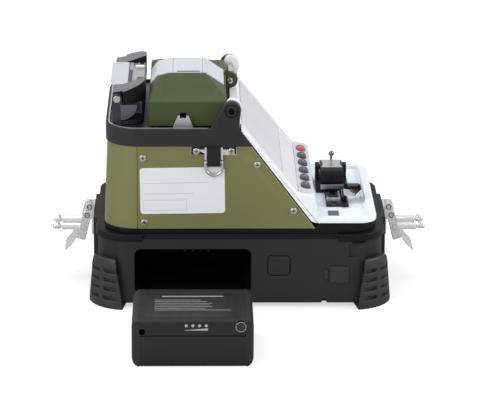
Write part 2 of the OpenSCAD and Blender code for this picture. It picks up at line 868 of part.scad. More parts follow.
module cover_hinge() color("#b6b9bc") {
    difference() {
        across(-hinge_block_hw, hinge_block_hw) {
            translate([hinge_x, hinge_z]) circle(hinge_block_r);
            translate([slope_top[0] - bar_w, slope_top[1]]) square([bar_w, hinge_z - slope_top[1]]);
        }
        pin_y(hinge_x, hinge_z, hinge_screw_r + pin_gap, -far_away, far_away);
    }
    both_sides() difference() {
        union() {
            pin_y(hinge_x, hinge_z, hinge_screw_r, 2, lug_in + lug_t + 0.4);
            pin_y(hinge_x, hinge_z, hinge_screw_r + 1.4, lug_in + lug_t + 0.3, lug_in + lug_t + 2);
        }
        translate([hinge_x, lug_in + lug_t + 2, hinge_z]) cube([3.2, 1.4, 0.7], center = true);
    }
}

module fibre_guides() color("#c4c8cb") both_sides() difference() {
    across(cover_hw + 0.5, cover_hw + 0.5 + guide_t) polygon([
        [fibre_x - guide_w / 2, top_deck_z], [fibre_x + guide_w / 2, top_deck_z],
        [fibre_x + guide_top_w / 2, top_deck_z + guide_h], [fibre_x - guide_top_w / 2, top_deck_z + guide_h]
    ]);
    box([fibre_x - 2.4, 0, fibre_z - 0.5], [fibre_x + 2.4, far_away, far_away]);
}

// Splice unit

module unit_slab(grow, z0, z1) translate([fibre_x, 0, 0])
    box([-unit_w / 2 - grow, -unit_hw - grow, z0], [unit_w / 2 + grow, unit_hw + grow, z1]);

module splice_block() color("#54575b") {
    difference() {
        union() {
            unit_slab(-deck_gap, unit_z0, top_deck_z);
            unit_slab(unit_lap, top_deck_z, top_deck_z + unit_flange);
        }
        // light well at the splice point
        translate([fibre_x, 0, unit_z0 - cut]) cylinder(r = groove_hw, h = far_away);
    }
    // cheeks and pin of each fibre clamp
    both_sides() {
        for (y = [clamp_y, clamp_y + clamp_w - clamp_cheek]) difference() {
            box([clamp_pin_x - 3, y, top_deck_z + unit_flange], [clamp_pin_x + 2.6, y + clamp_cheek,
                clamp_pin_z + clamp_knuckle_r]);
            pin_y(clamp_pin_x, clamp_pin_z, clamp_pin_r + pin_gap, -far_away, far_away);
        }
        pin_y(clamp_pin_x, clamp_pin_z, clamp_pin_r, clamp_y, clamp_y + clamp_w);
    }
}

module vgroove_blocks() color("#e6e4dc") both_sides() difference() {
    box([fibre_x - 5, groove_hw + 0.5, top_deck_z + unit_flange], [fibre_x + 5, groove_hw + 22, fibre_z]);
    translate([fibre_x, 0, fibre_z]) rotate([0, 45, 0]) cube([0.6, far_away, 0.6], center = true);
}

module electrodes() color("#4a4d52") for (s = [-1, 1]) {
    holder_x = 12;
    holder_w = 5;
    holder_l = 7;
    rod_r = 1;
    rod_l = 10;
    tip_r = 0.15;
    tip_l = 5;
    tip_gap = 1;
    difference() {
        translate([fibre_x + s * holder_x, 0, 0])
            box([-holder_w / 2, -holder_l / 2, top_deck_z + unit_flange], [holder_w / 2, holder_l / 2,
                fibre_z + 3]);
        pin_x(0, fibre_z, rod_r + pin_gap, fibre_x - far_away, fibre_x + far_away);
    }
    translate([fibre_x + s * tip_gap, 0, fibre_z]) rotate([0, s * 90, 0]) {
        cylinder(r1 = tip_r, r2 = rod_r, h = tip_l);
        translate([0, 0, tip_l]) cylinder(r = rod_r, h = rod_l);
    }
}

// A clamp arm that hinges down on the fibre
module fibre_clamp() color("#6b6e72") {
    y0 = clamp_y + clamp_cheek + 0.3;
    y1 = clamp_y + clamp_w - clamp_cheek - 0.3;
    difference() {
        union() {
            box([clamp_pin_x, y0, fibre_z + 0.4], [fibre_x + 4, y1, fibre_z + 0.4 + clamp_t]);
            pin_y(clamp_pin_x, clamp_pin_z, clamp_knuckle_r, y0, y1);
        }
        pin_y(clamp_pin_x, clamp_pin_z, clamp_pin_r + pin_gap, -far_away, far_away);
    }
}

module fibre_clamp_far() fibre_clamp();

module fibre_clamp_near() mirror([0, 1, 0]) fibre_clamp();

module objective_lenses() color("#2b2d30") for (s = [-1, 1])
    translate([fibre_x + s * lens_x, 0, unit_z0 - lens_l]) difference() {
        cylinder(r = lens_r, h = lens_l);
        translate([0, 0, -cut]) cylinder(r = lens_bore_r, h = lens_l);
    }

// Two motors hung under the block
module feed_motors() color("#7d8085") both_sides()
    translate([fibre_x, unit_hw - 14, unit_z0 - motor_l]) cylinder(r = motor_r, h = motor_l);

module main_board() color("#2f6b3f") {
    board_rise = 6;
    board_z = base_h + skirt_wall + board_rise;
    board_hw = frame_hw - frame_t - 8;
    board_x0 = seam_x + 10;
    board_x1 = edge_foot[0] - 14;
    board_t = 1.6;
    post_in_x = 6;
    chip_w = 16;
    chip_h = 3.4;
    box([board_x0, -board_hw, board_z], [board_x1, board_hw, board_z + board_t]);
    // posts down to the skirt floor, and a row of packages
    for (x = [board_x0 + post_in_x, board_x1 - post_in_x], s = [-1, 1])
        translate([x, s * (board_hw - post_in_x), base_h + skirt_wall]) cylinder(r = 3, h = board_rise);
    for (i = [-1 : 1]) translate([(board_x0 + board_x1) / 2 + 1.5 * i * chip_w, 0, board_z + board_t])
        box([-chip_w / 2, -chip_w, 0], [chip_w / 2, chip_w, chip_h]);
}

// Heater

module heater_plan(inset) difference() {
    translate([heater_x0 + inset, -heater_hl + inset])
        square([heater_w - 2 * inset, 2 * (heater_hl - inset)]);
    // the ends curve away towards the wind cover
    for (s = [-1, 1]) translate([heater_x1 - heater_r, s * (heater_hl - heater_r)]) difference() {
        translate([0, s > 0 ? 0 : -heater_r - cut]) square([heater_r + cut, heater_r + cut]);
        circle(heater_r - inset);
    }
}

module heater_base() color("#2d3136") {
    difference() {
        union() {
            translate([0, 0, top_deck_z]) linear_extrude(heater_h) heater_plan(heater_wall);
            both_sides() across(heater_ear_in, heater_hl) {
                translate(heater_pin) circle(heater_ear_r);
                translate([heater_pin[0] - heater_ear_r, top_deck_z]) square([2 * heater_ear_r,
                    heater_pin[1] - top_deck_z]);
            }
        }
        box([trough_x - trough_w / 2, -far_away, top_deck_z + 3], [trough_x + trough_w / 2, far_away,
            far_away]);
        pin_y(heater_pin[0], heater_pin[1], heater_pin_r + pin_gap, -far_away, far_away);
    }
    both_sides() {
        pin_y(heater_pin[0], heater_pin[1], heater_pin_r, heater_ear_in - 8, heater_hl + 0.1);
        pin_y(heater_pin[0], heater_pin[1], heater_pin_r + 0.9, heater_hl, heater_hl + 1);
    }
}

module heater_trough() color("#c0c3c6") difference() {
    box([trough_x - trough_w / 2 + 0.2, -wing_in, top_deck_z + 3], [trough_x + trough_w / 2 - 0.2, wing_in,
        heater_top]);
    box([trough_x - trough_w / 2 + 1.4, -far_away, top_deck_z + 4.2], [trough_x + trough_w / 2 - 1.4,
        far_away, far_away]);
}

module heater_lid() color("#4a4d51") difference() {
    union() {
        translate([0, 0, lid_z0]) linear_extrude(lid_h) heater_plan(lid_inset);
        // raised wings, higher towards the wind cover
        both_sides() intersection() {
            translate([0, 0, lid_z0]) linear_extrude(far_away) heater_plan(lid_inset);
            across(wing_in, far_away) polygon([
                [heater_x0, lid_z0], [heater_x1, lid_z0], [heater_x1, lid_z0 + lid_h + 7.4],
                [heater_x0 + 8, lid_z0 + lid_h + 1.5], [heater_x0, lid_z0 + lid_h]
            ]);
        }
    }
    // the ears of the base stand in notches
    both_sides() box([-far_away, heater_ear_in - lid_ear_gap, 0],
        [heater_pin[0] + heater_ear_r + 2 * lid_ear_gap, far_away, far_away]);
    // round back edge clears the base as the lid turns
    box([-far_away, -far_away, 0], [heater_pin[0] - 3, far_away, far_away]);
    box([-far_away, -far_away, 0], [heater_pin[0] + 1, far_away, heater_pin[1] - 3.2]);
    pin_y(heater_pin[0], heater_pin[1], heater_pin_r + pin_gap, -far_away, far_away);
}

module heater_lid_plate() color("#dfe2e5")
    box([heater_pin[0] - 5.4, -wing_in + 0.4, lid_z0 + lid_h], [heater_pin[0] + 7.6, wing_in - 0.4,
        lid_z0 + lid_h + 1.6]);

// Draw latches, drawn for the operator's end and mirrored for the other

module latch_bracket() {
    difference() {
        union() {
            box([half_l + pad_t, -latch_hw, latch_pin[1] - latch_plate_drop], [latch_x, latch_hw, base_h]);
            both_sides() across(latch_hw - latch_ear_t, latch_hw) {
                translate(latch_pin) circle(latch_ear_r);
                translate([half_l + pad_t, latch_pin[1] - latch_ear_r])
                    square([latch_pin[0] - half_l - pad_t, 2 * latch_ear_r]);
                // upper ear over the rim, with a stop pin
                translate(stop_pin) circle(latch_ear_r);
                translate([half_l + pad_t, latch_pin[1]])
                    square([stop_pin[0] + latch_ear_r - half_l - pad_t, stop_pin[1] - latch_pin[1]]);
            }
        }
        pin_y(latch_pin[0], latch_pin[1], latch_pin_r + pin_gap, -far_away, far_away);
    }
    pin_y(latch_pin[0], latch_pin[1], latch_pin_r, -latch_hw, latch_hw);
    pin_y(stop_pin[0], stop_pin[1], latch_pin_r, -latch_hw, latch_hw);
}

// The lever hangs from the bracket pin, turned out a little from the wall
module at_lever() translate([latch_pin[0], 0, latch_pin[1]]) rotate([0, -lever_a, 0]) children();

module latch_lever() at_lever() {
    difference() {
        union() {
            both_sides() across(lever_hw - lever_t, lever_hw) {
                circle(lever_w / 2);
                translate([0, -hook_drop]) circle(lever_w / 2);
                translate([-lever_w / 2, -hook_drop]) square([lever_w, hook_drop]);
                translate([-lever_w / 2, -lever_l]) square([lever_w, lever_l - hook_drop]);
            }
            // web and thumb lip
            across(-lever_hw, lever_hw) translate([lever_w / 2, -hook_drop]) polygon([
                [-1.2, -3.9], [0, -3.9], [2.1, -9.5], [3.7, -14], [7, -20.2], [6.2, -21], [2.5, -14.6],
                [0.9, -9.9], [-1.2, -6]
            ]);
        }
        for (z = [0, -hook_drop]) pin_y(0, z, latch_pin_r + pin_gap, -far_away, far_away);
    }
}

module latch_hook() translate([hook_pin[0], 0, hook_pin[1]]) {
    yoke_r = 2.8;
    rod_in = lever_hw - lever_t - 0.3;
    // cross pin through the lever, with a yoke between its cheeks
    pin_y(0, 0, hook_pin_r, -lever_hw - 0.6, lever_hw + 0.6);
    pin_y(0, 0, yoke_r, -rod_in, rod_in);
    both_sides() {
        pin_x(hook_y, 0, rod_r, 0, hook_l);
        pin_x(hook_y, 0, sleeve_r, yoke_r - 1, hook_l - 6);
        pin_x(hook_y, 0, tip_r, hook_l - 5, hook_l - 1);
        translate([hook_l - 1, hook_y, 0]) sphere(r = tip_r);
        translate([hook_l - 3, hook_y, 0]) cylinder(r = 1.4, h = 3.4);
    }
}

module latch_bracket_front() color("#b5b3ab") latch_bracket();
module latch_bracket_rear() color("#b5b3ab") mirror([1, 0, 0]) latch_bracket();
module latch_lever_front() color("#b5b3ab") latch_lever();
module latch_lever_rear() color("#b5b3ab") mirror([1, 0, 0]) latch_lever();
module latch_hook_front() color("#c6c4bd") latch_hook();
module latch_hook_rear() color("#c6c4bd") mirror([1, 0, 0]) latch_hook();

// Cleaver

module cleaver_base() color("#17171a") {
    x1 = cleaver_x0 + cleaver_w;
    difference() {
        union() {
            // block with two ears for the arm
            box([cleaver_x0, cleaver_y0, cleaver_z], [x1, cleaver_y1, cleaver_z + cleaver_block_h]);
            for (x = [cleaver_x0, x1 - cleaver_ear_t]) {
                translate([x, cleaver_pin[0], cleaver_z]) box([0, -cleaver_ear_r, 0], [cleaver_ear_t,
                    cleaver_ear_r, cleaver_pin[1] - cleaver_z]);
                pin_x(cleaver_pin[0], cleaver_pin[1], cleaver_ear_r, x, x + cleaver_ear_t);
            }
            // seat in front, with the fibre channel
            box([seat_x0, seat_y0, cleaver_z], [seat_x0 + seat_w, cleaver_y0 + cut, cleaver_z + seat_t]);
            for (y = [flap_y0 - flap_gap - flap_ear_t, flap_y1 + flap_gap]) {
                translate([flap_pin[0], y, cleaver_z]) box([-flap_ear_r, 0, 0], [flap_ear_r, flap_ear_t,
                    flap_pin[1] - cleaver_z]);
                pin_y(flap_pin[0], flap_pin[1], flap_ear_r, y, y + flap_ear_t);
            }
        }
        pin_x(cleaver_pin[0], cleaver_pin[1], cleaver_pin_r + pin_gap, -far_away, far_away);
        pin_y(flap_pin[0], flap_pin[1], flap_pin_r + pin_gap, -far_away, far_away);
        // slot for the carriage, and the channel along the seat
        carriage_bar(cleaver_x0 - cut, far_away, slide_gap);
        box([seat_x0 + 4, seat_y0 - cut, cleaver_z + seat_t - 1], [seat_x0 + 8, cleaver_y0, far_away]);
    }
    pin_x(cleaver_pin[0], cleaver_pin[1], cleaver_pin_r, cleaver_x0, x1);
    pin_y(flap_pin[0], flap_pin[1], flap_pin_r, flap_y0 - flap_gap - flap_ear_t,
        flap_y1 + flap_gap + flap_ear_t);
}

module carriage_bar(x0, x1, grow) {
    hw = carriage_w / 2 + grow;
    hh = carriage_h / 2 + grow;
    translate([0, carriage_y, carriage_z]) box([x0, -hw, -hh], [x1, hw, hh]);
}

module cleaver_arm() color("#202023") {
    x0 = cleaver_x0 + cleaver_ear_t + arm_gap;
    x1 = cleaver_x0 + cleaver_w - cleaver_ear_t - arm_gap;
    z0 = cleaver_z + arm_rise;
    z1 = cleaver_z + cleaver_h;
    nose_r = 5;
    stalk = [x0 + 9, cleaver_pin[0] - 1];
    stalk_r = 0.9;
    stalk_l = 4;
    ball_r = 2.2;
    difference() {
        union() {
            translate([x0, 0, 0]) along(0, x1 - x0) {
                translate([cleaver_y0 + nose_r, z1 - nose_r]) circle(nose_r);
                translate([cleaver_y0, z0]) square([nose_r, z1 - nose_r - z0]);
                translate([cleaver_y0 + nose_r, z0]) square([cleaver_pin[0] - cleaver_y0 - nose_r, z1 - z0]);
                translate(cleaver_pin) circle(z1 - cleaver_pin[1]);
            }
            // ball-ended pin at the back
            translate([stalk[0], stalk[1], z1 - cut]) cylinder(r = stalk_r, h = stalk_l + cut);
            translate([stalk[0], stalk[1], z1 + stalk_l + ball_r - 0.6]) sphere(r = ball_r);
        }
        pin_x(cleaver_pin[0], cleaver_pin[1], cleaver_pin_r + pin_gap, -far_away, far_away);
    }
}

module cleaver_carriage() color("#101012")
    carriage_bar(cleaver_x0 + carriage_in, cleaver_x0 + cleaver_w + carriage_out, 0);

// Bent guide flap, shown swung open to the right
module cleaver_flap() color("#c9cbcc") translate([flap_pin[0], 0, flap_pin[1]]) difference() {
    union() {
        pin_y(0, 0, knuckle_r, flap_y0, flap_y1);
        across(flap_y0, flap_y1) polygon([
            [0, -knuckle_r], [8, -0.6], [14, 5], [13, 6], [7.6, 0.6], [0, knuckle_r]
        ]);
    }
    pin_y(0, 0, flap_pin_r + pin_gap, -far_away, far_away);
}

// Battery

module battery_solid(inset, z0, z1) intersection() {
    translate([bay_x, 0, battery_h / 2]) across(battery_y0 + inset, battery_y1 - inset)
        round_rect(battery_w - 2 * inset, battery_h - 2 * inset, battery_r - inset);
    translate([bay_x, (battery_y0 + battery_y1) / 2, 0])
        round_prism(battery_w - 2 * inset, battery_l - 2 * inset, battery_r - inset, z0, z1);
}

module charge_hole() translate([bay_x - battery_w / 2 + charge_in, 0, battery_h - charge_drop])
    pin_y(0, 0, charge_r, battery_y0 - cut, battery_y0 + charge_depth);

module battery_lower() color("#18181a") difference() {
    battery_solid(0, 0, battery_split);
    battery_solid(battery_wall, battery_wall, far_away);
}

module battery_upper() color("#1a1a1c") difference() {
    battery_solid(0, battery_split, battery_h);
    battery_solid(battery_wall, 0, battery_h - battery_wall);
    charge_hole();
    // guide bore of the level button
    pin_y(check_x, check_z, check_r + slide_gap, battery_y0 - cut, battery_y0 + battery_r);
}

module battery_cells() color("#3f6fa8") {
    count = floor((battery_l - 2 * battery_wall - cell_front) / cell_pitch);
    for (i = [0 : count - 1])
        pin_x(cell_y0 + (i + 0.5) * cell_pitch, battery_wall + cell_r + cell_gap, cell_r, cell_x0,
            cell_x0 + cell_l);
}

module battery_button() color("#2a2b2e")
    pin_y(check_x, check_z, check_r, battery_y0 - check_proud, battery_y0 + check_t);

machine() base_tray();
machine() corner_bumpers();
machine() battery_contacts();
machine() usb_socket();
machine() port_cover();
machine() release_button();
machine() lower_skirt();
machine() body_frame();
machine() rear_wrap();
machine() side_panel_near();
machine() side_panel_far();
machine() panel_screws();
machine() top_rim();
machine() ear_bolts();
machine() top_deck();
machine() screen_bezel();
machine() front_deck();
machine() screen_glass();
machine() lcd_module();
machine() keypad_strip();
machine() keypad_board();
machine() key_1();
machine() key_2();
machine() key_3();
machine() key_4();
machine() key_5();
machine() key_6();
machine() strap_clips();
machine() strap_ring_near();
machine() strap_ring_far();
machine() wind_cover();
machine() wind_cover_strip();
machine() cover_hinge();
machine() fibre_guides();
machine() splice_block();
machine() vgroove_blocks();
machine() electrodes();
machine() fibre_clamp_near();
machine() fibre_clamp_far();
machine() objective_lenses();
machine() feed_motors();
machine() main_board();
machine() heater_base();
machine() heater_trough();
machine() heater_lid();
machine() heater_lid_plate();
machine() latch_bracket_front();
machine() latch_bracket_rear();
machine() latch_lever_front();
machine() latch_lever_rear();
machine() latch_hook_front();
machine() latch_hook_rear();
machine() cleaver_base();
machine() cleaver_arm();
machine() cleaver_carriage();
machine() cleaver_flap();
machine() battery_lower();
machine() battery_upper();
machine() battery_cells();
machine() battery_button();
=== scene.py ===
"""Finish of a fibre fusion splicer on its carrying base, modelled around its construction frame."""

import json
import math

import bmesh
import bpy
from bpy.props import FloatProperty, FloatVectorProperty, PointerProperty
from mathutils import Matrix, Vector


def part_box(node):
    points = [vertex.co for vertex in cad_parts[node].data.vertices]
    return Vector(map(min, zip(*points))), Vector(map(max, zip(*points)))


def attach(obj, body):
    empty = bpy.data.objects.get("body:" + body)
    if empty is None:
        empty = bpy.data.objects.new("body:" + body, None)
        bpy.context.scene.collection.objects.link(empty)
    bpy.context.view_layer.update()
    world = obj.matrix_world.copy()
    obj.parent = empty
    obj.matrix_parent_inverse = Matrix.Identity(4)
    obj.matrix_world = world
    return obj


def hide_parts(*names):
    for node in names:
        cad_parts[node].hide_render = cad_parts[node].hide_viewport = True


bl_info = {
    "name": "Fibre fusion splicer finish",
    "version": (1, 0, 0),
    "blender": (4, 5, 0),
    "location": "3D View > Sidebar > Splicer",
    "description": "Models the visible shells, fittings and surface finishes of a fibre fusion splicer",
    "category": "Object",
}

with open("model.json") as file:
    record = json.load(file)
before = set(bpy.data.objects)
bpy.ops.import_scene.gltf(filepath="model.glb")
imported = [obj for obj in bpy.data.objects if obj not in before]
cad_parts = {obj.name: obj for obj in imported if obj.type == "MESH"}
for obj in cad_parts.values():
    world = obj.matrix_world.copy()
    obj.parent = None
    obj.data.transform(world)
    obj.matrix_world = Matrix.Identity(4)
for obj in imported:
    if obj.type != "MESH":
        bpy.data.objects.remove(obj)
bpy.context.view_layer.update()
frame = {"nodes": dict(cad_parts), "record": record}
RECORD = frame["record"]
MM = 0.001

BODY_OF = {node: body for body, nodes in RECORD["behaviour"]["bodies"].items() for node in nodes}
SLOT_OF = {part["node"]: part["material_slot"] for part in RECORD["subparts"]}


def box_mm(node):
    """Lowest and highest corner of a node at rest, in millimetres."""
    low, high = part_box(node)
    return low / MM, high / MM


# Places that several pieces share, in millimetres
BASE_LOW, BASE_HIGH = box_mm("base_tray")
MID_Y = (BASE_LOW.y + BASE_HIGH.y) / 2
RIM_LOW, RIM_HIGH = box_mm("top_rim")
PANEL_LOW = box_mm("side_panel_near")[0]
DECK_LOW = box_mm("front_deck")[0]
COVER_LOW, COVER_HIGH = box_mm("wind_cover")
BATTERY_LOW = box_mm("battery_lower")[0]
BATTERY_HIGH = box_mm("battery_upper")[1]
RIM_TOP = 138.3
ROW = Matrix.Translation((0, MID_Y, 0))
UPRIGHT = Matrix.Rotation(math.pi / 2, 4, "X")

# The planes of the screen and of the keys
SCREEN_TILT, KEY_TILT = math.radians(51.02), math.radians(11.4)
SLOPE = Matrix.Translation((-1.5, MID_Y, 143.0)) @ Matrix.Rotation(SCREEN_TILT, 4, "Y")
SHELF = Matrix.Translation((42.6, MID_Y, 88.5)) @ Matrix.Rotation(KEY_TILT, 4, "Y")

# Above the first angle an edge stays sharp, and below the second two faces are one
SHARP_ANGLE, FLAT_ANGLE = math.radians(38), math.radians(0.8)

# Points nearer than this, in metres, lie on a cutting plane
PLANE_GAP = 1e-7


# Settings that a user would change


def colour(name, text, value):
    return FloatVectorProperty(name=name, description=text, default=value, size=3, subtype="COLOR",
                               min=0.0, max=1.0)


def length(name, text, value):
    return FloatProperty(name=name, description=text, default=value * MM, unit="LENGTH",
                         subtype="DISTANCE", min=0.0)


def angle(name, text, degrees):
    return FloatProperty(name=name, description=text, default=math.radians(degrees), subtype="ANGLE")


def quantity(name, text, value):
    return FloatProperty(name=name, description=text, default=value)


class SplicerColours(bpy.types.PropertyGroup):
    """Colours of the finishes"""

    olive: colour("Olive", "Anodised olive of the side panels and the rear wrap", (0.23, 0.232, 0.092))
    green: colour("Green", "Paint of the wind cover", (0.054, 0.076, 0.024))
    charcoal: colour("Charcoal", "Moulded top rim", (0.020, 0.0195, 0.019))
    black: colour("Black", "Moulded carrying base", (0.019, 0.019, 0.0193))
    rubber: colour("Rubber", "Corner bumpers, port cover and battery button", (0.023, 0.022, 0.0205))
    silver: colour("Silver", "Painted screen housing", (0.87, 0.885, 0.91))
    deck: colour("Deck", "Front deck", (0.81, 0.87, 0.92))
    steel: colour("Steel", "Socket behind the port cover", (0.62, 0.61, 0.58))
    key_grey: colour("Key grey", "Five grey keys", (0.055, 0.062, 0.068))
    key_red: colour("Key red", "Power key", (0.52, 0.07, 0.09))


class SplicerEdges(bpy.types.PropertyGroup):
    """Edge roundings"""

    moulding: length("Mouldings", "Edge rounding of moulded housings", 0.7)
    sheet: length("Sheet metal", "Edge rounding of sheet metal", 0.3)
    fold: length("Cover folds", "Rounding of the wind cover's folds", 1.8)
    battery: length("Battery edges", "Rounding of the battery's outer edges", 1.8)


class SplicerStage(bpy.types.PropertyGroup):
    """Camera and light"""

    lens: quantity("Lens", "Focal length on a 36 mm sensor, in millimetres", 201.3)
    distance: length("Distance", "From the camera to the point it looks at", 2061)
    elevation: angle("Elevation", "Height of the camera above the horizon", 17.05)
    azimuth: angle("Azimuth", "Turn of the camera round the object", -0.98)
    roll: angle("Roll", "Turn of the picture", 0.24)
    ambient: quantity("Ambient", "Strength of the even light from all round", 0.62)
    key: quantity("Key light", "Power of the overhead soft box, in watts", 9.5)
    fill: quantity("Fill light", "Power of the soft box beside the camera, in watts", 14.0)
    side: quantity("Side light", "Power of the soft box on the screen's side, in watts", 12.0)


# Mesh building


def copy_of(node):
    """A merged copy of a node's mesh with its flat faces made whole."""
    bm = bmesh.new()
    bm.from_mesh(frame["nodes"][node].data)
    bmesh.ops.remove_doubles(bm, verts=bm.verts, dist=0.002 * MM)
    bmesh.ops.dissolve_limit(bm, angle_limit=FLAT_ANGLE, verts=bm.verts, edges=bm.edges)
    return bm


def soften(bm, width, segments=2, angle=40, where=None):
    """Rounds the outer edges that are sharper than the angle and, if a test is given, pass it."""
    edges = []
    for edge in bm.edges:
        if not edge.is_manifold or not edge.is_convex:
            continue
        if edge.calc_face_angle() < math.radians(angle):
            continue
        middle = (edge.verts[0].co + edge.verts[1].co) / (2 * MM)
        if where is None or where(middle):
            edges.append(edge)
    if edges and width > 0:
        bmesh.ops.bevel(bm, geom=edges, offset=width, offset_type="OFFSET", segments=segments, profile=0.5,
                        affect="EDGES", material=-1, clamp_overlap=False, loop_slide=True)


def place(bm, verts, matrix):
    """Puts new vertices, given in millimetres, where the matrix says."""
    bmesh.ops.transform(bm, matrix=Matrix.Scale(MM, 4) @ matrix, verts=verts)


def add_block(bm, low, high, matrix=Matrix()):
    """A block between two corners."""
    made = bmesh.ops.create_cube(bm, size=1.0)["verts"]
    low, high = Vector(low), Vector(high)
    size = high - low
    fit = Matrix.Translation((low + high) / 2) @ Matrix.Diagonal((size.x, size.y, size.z, 1.0))
    place(bm, made, matrix @ fit)
    return made


def blocks(*corners, matrix=Matrix()):
    """A mesh of blocks, each given by its lowest and highest corner."""
    bm = bmesh.new()
    for low, high in corners:
        add_block(bm, low, high, matrix)
    return bm


def along(start, end):
    """A matrix whose Z axis runs from start to end, with its origin halfway."""
    start, end = Vector(start), Vector(end)
    turn = (end - start).to_track_quat("Z", "Y").to_matrix().to_4x4()
    return Matrix.Translation((start + end) / 2) @ turn


def add_rod(bm, start, end, r1, r2=None, sides=24, matrix=Matrix()):
    """A rod between two points, or a cone if it has a second radius."""
    made = bmesh.ops.create_cone(bm, cap_ends=True, segments=sides, radius1=r1,
                                 radius2=r1 if r2 is None else r2,
                                 depth=(Vector(end) - Vector(start)).length)["verts"]
    place(bm, made, matrix @ along(start, end))
    return made


def verts_where(bm, test):
    """The vertices whose place, in millimetres, passes the test."""
    return [vert for vert in bm.verts if test(vert.co / MM)]


def faces_of(verts):
    """The faces that touch some vertices."""
    return list({face for vert in verts for face in vert.link_faces})


def raised(bm, faces, depth):
    """Raises flat faces along Z and returns the new vertices."""
    grown = bmesh.ops.extrude_face_region(bm, geom=faces)["geom"]
    top = [vert for vert in grown if isinstance(vert, bmesh.types.BMVert)]
    bmesh.ops.translate(bm, vec=(0.0, 0.0, depth), verts=top)
    return top


def prism(outline, depth, matrix, bm=None):
    """A flat outline in the matrix's XY plane, raised along its Z, in a new mesh or a given one."""
    bm = bm or bmesh.new()
    verts = [bm.verts.new((x, y, 0.0)) for x, y in outline]
    verts += raised(bm, [bm.faces.new(verts)], depth)
    bmesh.ops.recalc_face_normals(bm, faces=faces_of(verts))
    place(bm, verts, matrix)
    return bm


def arc(x, y, rx, ry, start, stop, steps):
    """Points on part of an ellipse, between two angles in degrees."""
    turns = [math.radians(start + (stop - start) * step / steps) for step in range(steps + 1)]
    return [(x + rx * math.cos(turn), y + ry * math.sin(turn)) for turn in turns]


def round_outline(width, height, radius, steps=6):
    """Corner points of a rounded rectangle round the origin."""
    x, y = width / 2 - radius, height / 2 - radius
    points = []
    for number, (sx, sy) in enumerate(((1, 1), (-1, 1), (-1, -1), (1, -1))):
        points += arc(sx * x, sy * y, radius, radius, 90 * number, 90 * number + 90, steps)
    return points


def ring(inner, outer, height, matrix):
    """A mesh of one flat ring round the matrix's Z axis."""
    bm = bmesh.new()
    section = ((inner, 0.0), (inner, height), (outer, height), (outer, 0.0))
    verts = [bm.verts.new((radius, 0.0, z)) for radius, z in section]
    edges = [bm.edges.new(pair) for pair in zip(verts, verts[1:] + verts[:1])]
    bmesh.ops.spin(bm, geom=verts + edges, cent=(0, 0, 0), axis=(0, 0, 1), angle=math.tau, steps=32,
                   use_merge=True)
    bmesh.ops.remove_doubles(bm, verts=bm.verts, dist=1e-5)
    bmesh.ops.recalc_face_normals(bm, faces=bm.faces)
    place(bm, bm.verts, matrix)
    return bm


def cut(bm, point, normal, parts=None, beyond=False):
    """Splits the faces that cross a plane given in millimetres, or takes away what lies beyond it."""
    bmesh.ops.bisect_plane(bm, geom=parts or bm.verts[:] + bm.edges[:] + bm.faces[:], dist=PLANE_GAP,
                           plane_co=Vector(point) * MM, plane_no=normal, clear_outer=beyond)


def slice_off(bm, point, normal, parts=None):
    """Takes away what lies beyond a plane and closes the cut."""
    cut(bm, point, normal, parts, beyond=True)
    close_holes(bm)


def close_holes(bm):
    """Fills every open edge loop."""
    bmesh.ops.holes_fill(bm, edges=[edge for edge in bm.edges if edge.is_boundary], sides=0)


def joint_at(name):
    """X and Z of a joint's axis, in millimetres."""
    joint = next(j for j in RECORD["behaviour"]["joints"] if j["name"] == name)
    return joint["pos_m"][0] / MM, joint["pos_m"][2] / MM


def extent(points):
    """Lowest and highest corner of some points."""
    axes = list(zip(*points))
    return Vector([min(axis) for axis in axes]), Vector([max(axis) for axis in axes])


def shells(bm):
    """The faces of each separate solid in a mesh."""
    left, found = set(bm.faces), []
    while left:
        stack, one = [left.pop()], []
        while stack:
            face = stack.pop()
            one.append(face)
            for other in {f for edge in face.edges for f in edge.link_faces} & left:
                left.remove(other)
                stack.append(other)
        found.append(one)
    return found


def paint(bm, index, test):
    """Another finish for faces whose middle, in millimetres, and normal pass the test."""
    for face in bm.faces:
        if test(face.calc_center_median() / MM, face.normal):
            face.material_index = index


def add_piece(name, bm, finishes, body="machine", slot=None, stands_for=()):
    """Makes the mesh an object that rides on a body."""
    mesh = bpy.data.meshes.new(name)
    bm.to_mesh(mesh)
    bm.free()
    mesh.shade_smooth()
    mesh.set_sharp_from_angle(angle=SHARP_ANGLE)
    for finish in [finishes] if isinstance(finishes, str) else finishes:
        mesh.materials.append(FINISHES[finish])
    piece = bpy.data.objects.new(name, mesh)
    bpy.context.scene.collection.objects.link(piece)
    flat = piece.modifiers.new("Flat faces", "WEIGHTED_NORMAL")
    flat.keep_sharp = True
    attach(piece, body)
    if stands_for:
        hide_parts(*stands_for)
    return piece


def finish_node(node, finishes, bm):
    """A softened copy that stands for its node."""
    return add_piece(node + "_shell", bm, finishes, BODY_OF[node], SLOT_OF[node], (node,))


def finish_plain(node, finishes, width, segments=2, angle=40, where=None, paints=()):
    """A softened copy, with a test of faces for each finish after the first."""
    bm = copy_of(node)
    soften(bm, width, segments, angle, where)
    for index, test in enumerate(paints, 1):
        paint(bm, index, test)
    return finish_node(node, finishes, bm)


# Shared surface effects


def new_group(name, inputs, outputs):
    """A node group with its input and output node. A value's type gives the type of its socket."""
    group = bpy.data.node_groups.new(name, "ShaderNodeTree")
    kinds = {float: "NodeSocketFloat", list: "NodeSocketVector", tuple: "NodeSocketColor"}
    for label, value in inputs.items():
        socket = group.interface.new_socket(label, in_out="INPUT", socket_type=kinds[type(value)])
        socket.default_value = value
    for label, kind in outputs.items():
        group.interface.new_socket(label, in_out="OUTPUT", socket_type=kinds[kind])
    return group, group.nodes.new("NodeGroupInput"), group.nodes.new("NodeGroupOutput")


def set_inputs(node, values):
    """Sets inputs of a node by name or number."""
    for key, value in values.items():
        node.inputs[key].default_value = value
    return node


